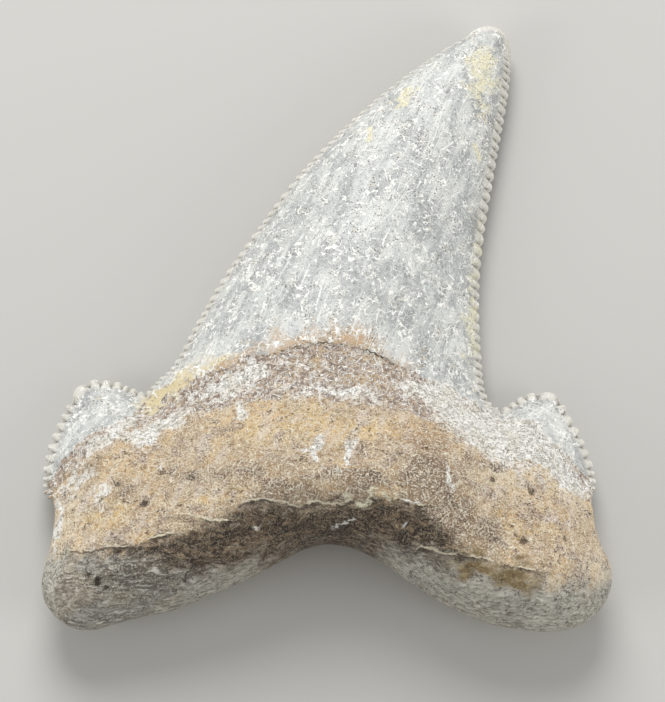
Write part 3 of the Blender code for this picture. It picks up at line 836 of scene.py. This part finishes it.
# Strokes laid one by one: x, y, half length, half width in mm, turn in degrees.
WHITE_STROKES = (
    (4.8, 4.7, 1.1, 0.24, -96), (5.1, 1.8, 2, 0.3, -82), (3.3, 4.2, 1.4, 0.2, 20),
    (-2.8, -3, 0.6, 0.22, -67), (-2.2, -3.7, 0.6, 0.24, -11), (9.7, 4, 0.8, 0.22, -72),
    (1.5, -1.5, 1.5, 0.16, -63), (1.2, -5.6, 0.8, 0.24, 42), (11.5, 6.3, 1.5, 0.22, -70),
    (2.9, 1.4, 0.7, 0.2, 46), (-2.4, -12.9, 1.2, 0.22, -18), (-0.8, -13.4, 1.6, 0.2, -84),
    (-7.8, -12.7, 0.7, 0.22, 45), (25.5, -16.3, 2.5, 0.25, -57), (28, -14.9, 1.8, 0.18, 56),
    (26.6, -14.5, 1.6, 0.2, -50), (29.5, -20.3, 1.5, 0.25, -48), (1.9, -27.9, 1.8, 0.13, 9),
    (9.2, -26.8, 1.4, 0.15, -10), (8.5, -28.9, 0.5, 0.2, 30), (-18.6, -21.3, 0.6, 0.25, 88))
SCRATCHES = (
    (-0.8, 0.1, 2.8, 0.15, -104), (8.8, -0.7, 3.3, 0.15, 72), (14.8, 20.6, 3.7, 0.15, 43),
    (10.9, 14.9, 1.5, 0.15, 66), (8, 8.5, 1.8, 0.15, -111), (-1.5, 9.3, 1.8, 0.15, 62),
    (6.8, 7.3, 2.1, 0.15, 68), (6.9, 15.6, 1.2, 0.14, -78), (15.6, 17.1, 1.1, 0.15, 64),
    (-2.5, 2.5, 2.2, 0.15, 71), (5.8, -2.5, 1.7, 0.15, 79), (9.4, 0, 1.1, 0.15, 60))


def stain_and_painted_light_shares(plan):
    """The share at each point of each stain and each patch of painted shade and light: the greatest of
    strength exp(-(u^2 + v^2)) over its ovals.

    The points are pushed about by noises first, so that no patch is an oval.
    """
    flat = np.column_stack([plan, np.zeros(len(plan))])
    push = [rough_noise(flat, *STAIN_NOISE, seed) for seed in STAIN_SEEDS]
    plan = plan + STAIN_PUSH * np.column_stack(push)
    shares = {}
    for name, ovals in STAINS_AND_PAINTED_LIGHT.items():
        share = np.zeros(len(plan))
        for x, y, length, width, turn, strength in ovals:
            angle = math.radians(turn)
            offset = plan - (x, y)
            u = (offset @ (math.cos(angle), math.sin(angle))) / length
            v = (offset @ (-math.sin(angle), math.cos(angle))) / width
            share = np.maximum(share, strength * np.exp(-u**2 - v**2))
        shares[name] = share
    return shares


# ---------------------------------------------------------------- finish

# The finishes, from the root up, each with its roughness and its layers. Root bone is porous and
# speckled tan; under the ridges it is stained dark and flaked, with painted shade just under them;
# the basal face is grey and fibrous, with rust in places. Some patches of each finish are darkened
# with painted shade, and some rims lightened with painted light. The band is bare brown tooth bone
# under a net of white mineral threads. The enamel is pale grey mineral glass with white worm-shaped
# threads, and its denticles are creamy, with a painted highlight along the rim and painted shade in
# the notches and the crease behind them. Cream clay and crusts of white lime lie on top. A layer is
# a pattern, the values between which it rises, how far, its colour and its height in mm.
FINISHES = {
    "root": (0.65, (
        ("broad", 0.46, 0.6, 1, ROOT_WARM, 0), ("chalk_and_painted_light", 0, 1, 0.8, ROOT_LIGHT, 0),
        ("yellow", 0, 1, 0.9, ROOT_YELLOW, 0), ("ochre", 0, 1, 0.9, ROOT_OCHRE, 0),
        ("patch", 0.5, 0.66, 0.7, ROOT_MAUVE, 0), ("streak", 0.52, 0.68, 0.55, ROOT_LILAC, 0.05),
        ("painted_shade", 0, 1, 0.85, ROOT_PAINTED_SHADE, 0), ("mottle", 0.5, 0.68, 0.5, ROOT_LIGHT, 0.1),
        ("mottle", 0.46, 0.34, 0.5, ROOT_SHADE, -0.1),
        ("grain", 0.46, 0.34, 0.5, ROOT_SHADE, -0.08), ("needles", 0, 1, 0.8, ROOT_PALE, 0.06),
        ("grain", 0.54, 0.65, 0.7, ROOT_PALE, 0.06), ("pepper", 0, 1, 0.5, PORE_BROWN, -0.12))),
    "stained": (0.65, (
        ("patch", 0.46, 0.6, 1, STAIN_LIGHT, 0.1), ("painted_shade", 0, 1, 0.75, STAIN_DARK_AND_SHADE, 0),
        # The layer on the ridge's distance is painted shade: darker towards each ridge from below.
        ("ridge", -2.6, -0.2, 0.85, STAIN_DARK_AND_SHADE, 0), ("fibre", 0.5, 0.62, 0.8, STAIN_LIGHT, 0.2),
        ("fibre", 0.47, 0.36, 1, STAIN_DARK_AND_SHADE, -0.2), ("mottle", 0.44, 0.36, 0.8, STAIN_DARK_AND_SHADE, -0.1),
        ("needles", 0, 1, 0.6, STAIN_PALE, 0.05), ("grain", 0.57, 0.66, 0.6, STAIN_PALE, 0.05))),
    "basal": (0.7, (
        ("broad", 0.42, 0.6, 1, BASAL_TAN, 0), ("chalk_and_painted_light", 0, 1, 0.9, CHALK_AND_PAINTED_LIGHT, 0),
        ("painted_shade", 0, 1, 0.75, BASAL_DARK, 0), ("fibre", 0.48, 0.64, 0.65, BASAL_PALE, 0.35),
        ("fibre", 0.46, 0.35, 0.6, BASAL_DARK, -0.3), ("mottle", 0.43, 0.34, 0.5, BASAL_DARK, -0.1),
        ("grain", 0.57, 0.66, 0.7, BASAL_PALE, 0.05), ("pepper", 0, 1, 0.8, PORE_BROWN, -0.1))),
    "rust": (0.7, (
        ("mottle", 0.5, 0.62, 1, RUST_PALE, 0.08), ("grain", 0.55, 0.65, 0.8, RUST_PALE, 0.05))),
    "band": (0.6, (
        ("mottle", 0.44, 0.58, 1, BAND_BROWN, 0.12), ("patch", 0.5, 0.62, 1, BAND_TAN, 0),
        ("mottle", 0.45, 0.37, 0.6, BAND_SHADE, -0.1),
        ("grain", 0.43, 0.35, 0.7, BAND_SHADE, -0.08), ("arcs", 0, 1, 0.9, BAND_PALE, 0.05),
        ("worms", 0, 1, 0.8, BAND_PALE, 0.06), ("needles", 0, 0.6, 1, MINERAL_WHITE, 0.06))),
    "enamel": (0.42, (
        ("broad", 0.42, 0.62, 1, ENAMEL_PALE, 0), ("mottle", 0.47, 0.37, 0.45, ENAMEL_SHADE, -0.03),
        ("streak", 0.44, 0.3, 0.5, ENAMEL_SHADE, 0), ("streak", 0.51, 0.68, 0.6, ENAMEL_WHITE, 0),
        ("chalk_and_painted_light", 0, 1, 0.6, ENAMEL_WHITE, 0), ("painted_shade", 0, 1, 0.5, ENAMEL_SHADE, 0),
        ("rose", 0, 1, 0.9, ROSE, 0), ("yellow", 0, 1, 0.8, CREAM_TAN, 0),
        ("needles", 0, 1, 0.7, ENAMEL_WHITE, 0.03), ("grain", 0.6, 0.68, 0.5, ENAMEL_WHITE, 0.02),
        ("grain", 0.42, 0.34, 0.4, ENAMEL_SHADE, -0.03), ("pepper", 0, 1, 0.7, PEPPER_GREY, -0.06),
        # The layers on the inset paint shade in the crease behind the denticles, then the denticles'
        # cream with a painted highlight along the rim; the layer on the crevice paints shade in the
        # notches between them.
        ("scratches", 0, 1, 0.9, ENAMEL_WHITE, 0.03), ("inset", 1.5, 1.1, 0.2, BEAD_SHADE, 0),
        ("inset", 1, 0.5, 0.75, BEAD_CREAM_AND_HIGHLIGHT, 0), ("arcs", 0, 1, 1, MINERAL_WHITE, 0.04),
        ("worms", 0, 1, 1, MINERAL_WHITE, 0.04), ("crevice", 0.05, 0.55, 0.85, BEAD_SHADE, 0))),
    "cream": (0.7, (
        ("yellow", 0, 1, 0.8, CREAM_TAN, 0), ("grain", 0.5, 0.4, 0.8, CREAM_SHADE, -0.05),
        ("pepper", 0, 1, 0.3, PORE_BROWN, -0.1), ("arcs", 0, 1, 0.9, MINERAL_WHITE, 0.05))),
    "crust": (0.7, (
        ("patch", 0.5, 0.62, 0.5, CRUST_TAN, 0), ("mottle", 0.5, 0.4, 0.6, CRUST_GREY, -0.12),
        ("grain", 0.47, 0.37, 0.8, CRUST_GREY, -0.08), ("needles", 0, 1, 0.9, CRUST_WHITE, 0.06))),
}
# Patterns that the mesh holds: noises, each its size in mm, octaves and seed, and shapes.
HELD_NOISES = {"broad": (4.5, 4, 81), "patch": (2, 4, 83)}
HELD_SHAPES = ("streak", "lingual", "inset", "pit", "crevice", "ridge", "crack")
STREAK_NOISE = (1.1, 3, 85)
STREAK_STRETCH = (1, 0.22, 0.7)
LABIAL_WRAP = 1.5
# Patterns of the finish. Real grain is under 0.1 mm and real threads under 0.2 mm wide, which is too
# fine to show, so both are drawn about twice as coarse. A cloud is the space it is in, its size in
# mm, seed and detail. A vein is those, how far from its middle a noise is drawn, and its gate, with
# the value that it has to pass.
PUSHES = {"crooked": 1.2, "bent": 0.6}
PUSH_CLOUD = (0.8, 51, 1)
CLOUDS = {
    "mottle": ("place", 0.6, 2, 3), "grain": ("place", 0.2, 4, 2),
    "fibre": ("bent", (1.4, 0.36, 0.36), 45, 3)}
VEINS = {
    "worms": ("crooked", 1.3, 5, 0.035, "patch", 0.43),
    "arcs": ("crooked", 2.1, 6, 0.027, "mottle", 0.46),
    "scratches": ("along", (0.9, 11, 3), 13, 0.024, "broad", 0.42)}
VEIN_CORE = 0.3
VEIN_GATE = 0.08
# Short needles that lie three ways, and dark pepper.
NEEDLE_SIZE = (0.95, 0.16, 0.5)
NEEDLE_TURNS = (20, 80, 140)
NEEDLE_SEED = 9
NEEDLE_CUT = (0.62, 0.7)
PEPPER_DOTS = (0.42, 0.34)
PEPPER_PATCHES = (0.53, 0.62)
# Strokes are ovals that reach right through the tooth.
STROKE_REACH = 1000
STROKE_EDGE = (0.1, 0.5)
STROKE_GAPS = (0.38, 0.5)
STROKES = {"strokes": ("bent", WHITE_STROKES), "scores": ("place", SCRATCHES)}
# Lines along the ridges and cracks: what each follows, how far over it, half width, and its gate.
EDGE_LINES = {
    # The line on the crest is pale with painted highlight, and the line under it is a dark crack with
    # painted shadow under the ridge's lip.
    "crest": ("ridge", 0.1, 0.14, "patch"), "under crest crack and shadow": ("ridge", -0.12, 0.14, "streak"),
    "cracks": ("crack", 0, 0.075, "patch")}
LINE_WANDER = 0.6
LINE_CORE = 0.4
LINE_GATE = (0.44, 0.52)
# The sums of its share and two clouds between which a stain rises.
SOFT_EDGE = (1.2, 1.95)
HARD_EDGE = (1.35, 1.7)
# The line that a finish ends along, and the heights over it between which the finish rises.
FINISH_EDGES = {
    "labial": (LABIAL_FOOT, -0.3, 0.3), "foot": (ENAMEL_FOOT, -0.12, 0.12),
    "band": (BAND_FOOT, -0.4, 0.4), "stained": (BROWN_TOP, 1, -0.8), "basal": (BASAL_TOP, 1, -0.8)}
FINISH_WANDER = 3
LINE_FIELD = ((-34, -40), (34, 10))
# Layers over all the finishes.
MARKS = (
    # A pale line with painted highlight along the crest, and a dark crack with painted shadow under
    # it.
    ("crest", 0, 1, 0.9, CREST_PALE_AND_HIGHLIGHT, 0.1), ("under crest crack and shadow", 0, 1, 0.7, CRACK_AND_SHADOW_BROWN, -0.12),
    ("scores", 0, 1, 0.9, MINERAL_WHITE, 0), ("strokes", 0, 1, 0.8, MINERAL_WHITE, 0),
    ("cracks", 0, 1, 0.9, CRACK_AND_SHADOW_BROWN, -0.12), ("pit", 0.3, 0.7, 0.75, PORE_BROWN, -0.1))


def linear(colour):
    """An sRGB hex colour as linear red, green, blue and alpha."""
    values = [int(colour[i:i + 2], 16) / 255 for i in (1, 3, 5)]
    return tuple(v / 12.92 if v <= 0.04045 else ((v + 0.055) / 1.055)**2.4 for v in values) + (1,)


def add(tree, kind, inputs, out=0, **settings):
    """Add a shader node with its settings, link or set its inputs, and return one of its outputs.

    Where out is None it returns the node.
    """
    node = tree.nodes.new("ShaderNode" + kind)
    for name, value in settings.items():
        setattr(node, name, value)
    for socket, value in inputs.items():
        if isinstance(value, bpy.types.NodeSocket):
            tree.links.new(value, node.inputs[socket])
        else:
            node.inputs[socket].default_value = value
    return node if out is None else node.outputs[out]


def clouds(tree, place, size, seed, detail):
    """Noise about 0.5, with bumps of this size in mm along all axes, or along each of the three."""
    scale = [1 / s for s in (size if isinstance(size, tuple) else (size,) * 3)]
    spot = add(tree, "Mapping", {"Vector": place, "Scale": scale, "Location": (seed, 0, -seed)})
    return add(tree, "TexNoise", {"Vector": spot, "Scale": 1, "Detail": detail})


def veins(tree, place, size, seed, width, gate, cover):
    """Thin lines where a noise is within this width of 0.5, in parts where the gate passes cover."""
    noise = clouds(tree, place, size, seed, 1)
    off = add(tree, "Math", {0: noise, 1: 0.5}, operation="SUBTRACT")
    away = add(tree, "Math", {0: off}, operation="ABSOLUTE")
    line = add(tree, "MapRange", {0: away, 1: width, 2: VEIN_CORE * width},
               interpolation_type="SMOOTHSTEP")
    covered = add(tree, "MapRange", {0: gate, 1: cover, 2: cover + VEIN_GATE})
    return add(tree, "Math", {0: line, 1: covered}, operation="MULTIPLY")


def needles(tree, place):
    """Short straight strokes that lie three ways: the greatest of three drawn-out noises."""
    total = 0.0
    for turn in NEEDLE_TURNS:
        spot = add(tree, "Mapping", {"Vector": place, "Rotation": (0, 0, math.radians(turn))})
        cloud = clouds(tree, spot, NEEDLE_SIZE, NEEDLE_SEED + turn, 1)
        total = add(tree, "Math", {0: cloud, 1: total}, operation="MAXIMUM")
    low, high = NEEDLE_CUT
    return add(tree, "MapRange", {0: total, 1: low, 2: high})


def above_line(tree, x, y, line):
    """How far a point is above one of the tooth's lines, in mm, by a curve through its knots."""
    (left, low), (right, high) = LINE_FIELD
    along = add(tree, "MapRange", {0: x, 1: left, 2: right})
    curve = add(tree, "FloatCurve", {"Value": along})
    spots = [((knot_x - left) / (right - left), (knot_y - low) / (high - low))
             for knot_x, knot_y in line]
    points = curve.node.mapping.curves[0].points
    points[0].location, points[1].location = spots[0], spots[-1]
    for spot in spots[1:-1]:
        points.new(*spot)
    curve.node.mapping.update()
    height = add(tree, "Math", {0: curve, 1: high - low, 2: low}, operation="MULTIPLY_ADD")
    return add(tree, "Math", {0: y, 1: height}, operation="SUBTRACT")


def strokes(tree, place, marks):
    """Listed strokes: the greatest of soft ovals, each x, y, half length, half width, turn."""
    total = 0.0
    for x, y, length, width, turn in marks:
        spot = add(tree, "Mapping", {"Vector": place, "Location": (x, y, 0),
                                     "Rotation": (0, 0, math.radians(turn)),
                                     "Scale": (length, width, STROKE_REACH)},
                   vector_type="TEXTURE")
        oval = add(tree, "TexGradient", {"Vector": spot}, "Fac", gradient_type="SPHERICAL")
        total = add(tree, "Math", {0: total, 1: oval}, operation="MAXIMUM")
    low, high = STROKE_EDGE
    return add(tree, "MapRange", {0: total, 1: low, 2: high})


def spaces(tree):
    """Object coordinates in mm, and the same turned along the crown, or pushed about by a noise."""
    here = add(tree, "TexCoord", {}, "Object")
    place = add(tree, "VectorMath", {0: here, 3: 1 / MM}, operation="SCALE")
    turn = (0, 0, math.radians(CROWN_LEAN))
    found = {"place": place, "along": add(tree, "Mapping", {"Vector": place, "Rotation": turn})}
    noise = clouds(tree, place, *PUSH_CLOUD).node.outputs["Color"]
    shift = add(tree, "VectorMath", {0: noise, 1: (0.5,) * 3}, operation="SUBTRACT")
    for name, push in PUSHES.items():
        found[name] = add(tree, "VectorMath", {0: shift, 1: (push,) * 3, 2: place},
                          operation="MULTIPLY_ADD")
    return found


def edge_line(tree, drawn, name, middle, width, gate):
    """A crooked line at this distance from the ridges or cracks, broken where the gate is low."""
    off = add(tree, "Math", {0: drawn["mottle"], 1: LINE_WANDER, 2: drawn[name]},
              operation="MULTIPLY_ADD")
    away = add(tree, "Math", {0: off, 1: LINE_WANDER / 2 + middle}, operation="SUBTRACT")
    away = add(tree, "Math", {0: away}, operation="ABSOLUTE")
    line = add(tree, "MapRange", {0: away, 1: width, 2: LINE_CORE * width})
    low, high = LINE_GATE
    covered = add(tree, "MapRange", {0: drawn[gate], 1: low, 2: high, 4: drawn["lingual"]})
    return add(tree, "Math", {0: line, 1: covered}, operation="MULTIPLY")


def shared_patterns(tree, found):
    """The patterns that the finishes draw on, by name, with the coarse ones held by the mesh.

    Clouds are about 0.5, and veins, stains, painted patches of shade and light, and marks run from 0
    to 1. Pepper is dark dots where the grain is low in some patches. Stains, painted patches and
    strokes have edges made ragged by the clouds.
    """
    drawn = {name: add(tree, "Attribute", {}, "Fac", attribute_name=name)
             for name in (*HELD_NOISES, *HELD_SHAPES, *STAINS_AND_PAINTED_LIGHT)}
    for name, (space, size, seed, detail) in CLOUDS.items():
        drawn[name] = clouds(tree, found[space], size, seed, detail)
    for name, (space, size, seed, width, gate, cover) in VEINS.items():
        drawn[name] = veins(tree, found[space], size, seed, width, drawn[gate], cover)
    drawn["needles"] = needles(tree, found["place"])
    lingual, mottle, grain, patch = (drawn[name] for name in ("lingual", "mottle", "grain", "patch"))
    dots, spotted = (add(tree, "MapRange", {0: cloud, 1: low, 2: high}) for cloud, (low, high) in
                     ((grain, PEPPER_DOTS), (patch, PEPPER_PATCHES)))
    drawn["pepper"] = add(tree, "Math", {0: dots, 1: spotted}, operation="MULTIPLY")
    speckled = add(tree, "Math", {0: grain, 1: -2, 2: 1}, operation="MULTIPLY_ADD")
    drawn["pit"] = add(tree, "Math", {0: drawn["pit"], 1: speckled}, operation="ADD")
    ragged = add(tree, "Math", {0: mottle, 1: patch}, operation="ADD")
    for name in STAINS_AND_PAINTED_LIGHT:
        edge = add(tree, "Math", {0: drawn[name], 1: ragged}, operation="ADD")
        low, high = SOFT_EDGE if name in SOFT_STAINS_AND_PAINTED_LIGHT else HARD_EDGE
        drawn[name] = add(tree, "MapRange", {0: edge, 1: low, 2: high, 4: lingual})
    low, high = STROKE_GAPS
    for name, (space, marks) in STROKES.items():
        broken = add(tree, "MapRange", {0: mottle, 1: low, 2: high, 4: lingual})
        drawn[name] = add(tree, "Math", {0: strokes(tree, found[space], marks), 1: broken},
                          operation="MULTIPLY")
    for name, edge in EDGE_LINES.items():
        drawn[name] = edge_line(tree, drawn, *edge)
    return drawn


def finish_shares(tree, drawn, place):
    """The shares of the finishes that end along lines; the enamel ends elsewhere on each face."""
    x = add(tree, "SeparateXYZ", {0: place}, "X")
    straight = x.node.outputs["Y"]
    wavy = add(tree, "Math", {0: drawn["patch"], 1: -FINISH_WANDER, 2: straight},
               operation="MULTIPLY_ADD")
    wavy = add(tree, "Math", {0: wavy, 1: FINISH_WANDER / 2}, operation="ADD")
    for name, (line, low, high) in FINISH_EDGES.items():
        above = above_line(tree, x, straight if line is ENAMEL_FOOT else wavy, line)
        top = 1 if name in ("labial", "foot") else drawn["lingual"]
        drawn[name] = add(tree, "MapRange", {0: above, 1: low, 2: high, 4: top})
    drawn["enamel"] = add(tree, "Mix", {0: drawn["lingual"], 2: drawn["labial"], 3: drawn["foot"]})


def layered(tree, drawn, colour, height, layers):
    """Layers laid over a ground's colour and its height in mm, one over another in turn.

    A layer is a pattern, the two values between which it rises, how far, its colour and its height.
    """
    for name, low, high, top, over, rise in layers:
        share = add(tree, "MapRange", {0: drawn[name], 1: low, 2: high, 4: top})
        colour = add(tree, "Mix", {0: share, 6: colour, 7: linear(over)}, 2, data_type="RGBA")
        if rise:
            height = add(tree, "Math", {0: share, 1: rise, 2: height}, operation="MULTIPLY_ADD")
    return colour, height


def fossil_material(settings):
    """Fossil tooth: enamel, enameloid gone to pale mineral glass, over porous mineralised root bone.

    The enamel is smooth and a little glossy, with wormlike white crystal veins, and everything else
    is matt and granular, so it shows no highlight but much fine shade.
    """
    material = bpy.data.materials.new("Mineralised enamel and root bone")
    material.use_nodes = True
    tree = material.node_tree
    tree.nodes.clear()
    found = spaces(tree)
    drawn = shared_patterns(tree, found)
    finish_shares(tree, drawn, found["crooked"])
    colour = height = rough = None
    for name, (finish_rough, layers) in FINISHES.items():
        over, over_height = layered(tree, drawn, (*getattr(settings, name), 1), 0, layers)
        if colour is None:
            colour, height, rough = over, over_height, finish_rough
            continue
        share = drawn[name]
        colour = add(tree, "Mix", {0: share, 6: colour, 7: over}, 2, data_type="RGBA")
        height = add(tree, "Mix", {0: share, 2: height, 3: over_height})
        rough = add(tree, "Mix", {0: share, 2: rough, 3: finish_rough})
    colour, height = layered(tree, drawn, colour, height, MARKS)
    bump = add(tree, "Bump", {"Height": height, "Distance": settings.grain_depth}, "Normal")
    shader = add(tree, "BsdfPrincipled", {"Base Color": colour, "Roughness": rough, "Normal": bump,
                                          "IOR": 1.6, "Specular IOR Level": 0.35})
    add(tree, "OutputMaterial", {"Surface": shader}, None)
    return material


def floor_material(settings):
    """Matt pale paper: an even, soft surface with no highlight."""
    material = bpy.data.materials.new("Matt pale paper")
    material.use_nodes = True
    shader = material.node_tree.nodes["Principled BSDF"]
    shader.inputs["Base Color"].default_value = (*settings.floor_colour, 1)
    shader.inputs["Roughness"].default_value = 0.85
    shader.inputs["Specular IOR Level"].default_value = 0.2
    return material


# ---------------------------------------------------------------- add-on


def colour_setting(name, description, colour):
    """A colour property from an sRGB hex colour."""
    return FloatVectorProperty(name=name, description=description, subtype="COLOR",
                               default=linear(colour)[:3], min=0.0, max=1.0)


class ToothSettings(bpy.types.PropertyGroup):
    """Sizes and colours of the tooth's surface."""

    relief: FloatProperty(
        name="Relief", description="Strength of the fine relief of the enamel, band and root",
        default=1.0, min=0.0, max=2.0, subtype="FACTOR")
    root: colour_setting("Root", "Ground colour of the root bone", ROOT_TAN)
    stained: colour_setting("Stained bone", "Ground colour of the bone under the ridges", STAIN_BROWN)
    basal: colour_setting("Basal face", "Ground colour of the basal face", BASAL_GREY)
    rust: colour_setting("Rust", "Colour of the rusty stains", RUST)
    band: colour_setting("Band", "Ground colour of the bare band", BAND_DARK)
    enamel: colour_setting("Enamel", "Ground colour of the enamel", ENAMEL_GREY)
    cream: colour_setting("Cream", "Colour of the cream stains", CREAM)
    crust: colour_setting("Crust", "Colour of the mineral crusts", CRUST_WHITE)
    grain_depth: FloatProperty(
        name="Grain depth", description="Depth that one millimetre of grain height stands for",
        default=0.001, min=0.0, max=0.003, unit="LENGTH")
    pore_count: IntProperty(
        name="Pores", description="Number of pores in the root", default=240, min=0, max=1000)


class StageSettings(bpy.types.PropertyGroup):
    """Sizes and colours of the stage."""

    floor_size: FloatProperty(
        name="Floor size", description="Side of the square floor", default=3.0, min=0.5,
        unit="LENGTH")
    floor_colour: colour_setting("Floor colour", "Colour of the floor", PAPER_GREY)
    key_power: FloatProperty(
        name="Key light", description="Power of the large soft light above the crown, in watts",
        default=1.95, min=0.0)
    fill_power: FloatProperty(
        name="Fill lights", description="Power of each of the two soft side lights, in watts",
        default=0.42, min=0.0)
    camera_distance: FloatProperty(
        name="Camera distance", description="From the camera to the middle of the tooth",
        default=0.3, min=0.1, unit="LENGTH")
    camera_lens: FloatProperty(
        name="Focal length", description="Focal length of the camera, in mm", default=130.8,
        min=20.0)


def linked(context, name, data):
    """A new object that holds this data, linked to the scene."""
    made = bpy.data.objects.new(name, data)
    context.scene.collection.objects.link(made)
    return made


def mesh_of(name, points, faces):
    """A smooth mesh in metres from points in mm and blocks of corner numbers of one size each."""
    mesh = bpy.data.meshes.new(name)
    sizes = np.concatenate([np.full(len(block), block.shape[1]) for block in faces])
    corners = np.concatenate([block.ravel() for block in faces])
    mesh.vertices.add(len(points))
    mesh.vertices.foreach_set("co", (points * MM).astype(np.float32).ravel())
    mesh.loops.add(len(corners))
    mesh.loops.foreach_set("vertex_index", corners.astype(np.int32))
    mesh.polygons.add(len(sizes))
    mesh.polygons.foreach_set("loop_start", (np.cumsum(sizes) - sizes).astype(np.int32))
    mesh.polygons.foreach_set("use_smooth", np.ones(len(sizes), bool))
    mesh.update(calc_edges=True)
    if mesh.validate():
        raise RuntimeError(f"{name}: the mesh had to be mended")
    return mesh


class TOOTH_OT_surface(bpy.types.Operator):
    """Make the tooth's weathered surface, with its mineral finish"""

    bl_idname = "tooth.surface"
    bl_label = "Tooth surface"
    bl_options = {"REGISTER", "UNDO"}

    def execute(self, context):
        settings = context.scene.tooth_settings
        grid = Grid()
        ridge = above_lines(grid.points, RIDGES)
        smooth, cutting, root_side = base_surface(grid, ridge)
        inset = np.minimum(cutting, root_side)
        points, pit = weathered(grid, smooth, cutting, inset, settings)
        mesh = mesh_of("fossil_tooth", points, grid.faces)
        lingual = np.where(grid.sheet < 0, np.exp(-(root_side / LABIAL_WRAP)**2), 1)
        values = stain_and_painted_light_shares(points[:, :2])
        values.update({name: held_cloud(points, *noise) for name, noise in HELD_NOISES.items()})
        values.update(streak=held_cloud(leaning(points) * STREAK_STRETCH, *STREAK_NOISE),
                      lingual=lingual, inset=cutting, pit=pit, ridge=ridge,
                      crevice=denticle_grooves(grid) / GROOVE_DEPTH,
                      crack=above_lines(grid.points, (*CRACKS, SEAM)))
        for name, value in values.items():
            attribute = mesh.attributes.new(name, "FLOAT", "POINT")
            attribute.data.foreach_set("value", value.astype(np.float32))
        mesh.materials.append(fossil_material(settings))
        tooth = linked(context, "fossil_tooth", mesh)
        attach(tooth, "root")
        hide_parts(NODE)
        return {"FINISHED"}


class TOOTH_OT_stage(bpy.types.Operator):
    """Make the pale floor, the soft lights and the camera"""

    bl_idname = "tooth.stage"
    bl_label = "Stage"
    bl_options = {"REGISTER", "UNDO"}

    def execute(self, context):
        settings = context.scene.tooth_stage
        half = settings.floor_size / 2
        mesh = bpy.data.meshes.new("floor")
        mesh.from_pydata([(-half, -half, 0), (half, -half, 0), (half, half, 0), (-half, half, 0)],
                         [], [(0, 1, 2, 3)])
        mesh.materials.append(floor_material(settings))
        floor = linked(context, "floor", mesh)
        floor.location.z = -FLOOR_DROP * MM
        middle = Vector(CAMERA_TARGET) * MM
        for name, place, size, power in (
                ("key light", KEY_PLACE, KEY_SIZE, settings.key_power),
                ("left fill light", FILL_PLACES[0], FILL_SIZE, settings.fill_power),
                ("right fill light", FILL_PLACES[1], FILL_SIZE, settings.fill_power)):
            light = bpy.data.lights.new(name, "AREA")
            light.shape = "DISK"
            light.size = size * MM
            light.energy = power
            lamp = linked(context, name, light)
            lamp.location = Vector(place) * MM
            lamp.rotation_euler = (lamp.location - middle).to_track_quat("Z", "Y").to_euler()
        world = bpy.data.worlds.new("studio")
        world.use_nodes = True
        background = world.node_tree.nodes["Background"]
        background.inputs["Color"].default_value = linear("#ffffff")
        background.inputs["Strength"].default_value = WORLD_STRENGTH
        context.scene.world = world
        context.scene.view_settings.view_transform = "Standard"
        camera_data = bpy.data.cameras.new("camera")
        camera_data.lens = settings.camera_lens
        camera_data.clip_start = 0.01
        camera = linked(context, "camera", camera_data)
        tilt = math.radians(CAMERA_ELEVATION)
        back = Vector((0, -math.cos(tilt), math.sin(tilt)))
        camera.location = middle + back * settings.camera_distance
        camera.rotation_euler = back.to_track_quat("Z", "Y").to_euler()
        context.scene.camera = camera
        return {"FINISHED"}


class TOOTH_PT_panel(bpy.types.Panel):
    """The tooth's and the stage's settings"""

    bl_idname = "TOOTH_PT_panel"
    bl_label = "Fossil shark tooth"
    bl_space_type = "VIEW_3D"
    bl_region_type = "UI"
    bl_category = "Tooth"

    def draw(self, context):
        for group, operator in (("tooth_settings", "tooth.surface"), ("tooth_stage", "tooth.stage")):
            settings = getattr(context.scene, group)
            box = self.layout.box()
            for name in settings.__annotations__:
                box.prop(settings, name)
            box.operator(operator)


CLASSES = (ToothSettings, StageSettings, TOOTH_OT_surface, TOOTH_OT_stage, TOOTH_PT_panel)


def register():
    for cls in CLASSES:
        bpy.utils.register_class(cls)
    bpy.types.Scene.tooth_settings = PointerProperty(type=ToothSettings)
    bpy.types.Scene.tooth_stage = PointerProperty(type=StageSettings)


def unregister():
    del bpy.types.Scene.tooth_stage
    del bpy.types.Scene.tooth_settings
    for cls in reversed(CLASSES):
        bpy.utils.unregister_class(cls)


def main():
    register()
    bpy.ops.tooth.surface()
    bpy.ops.tooth.stage()


if __name__ == "__main__":
    main()
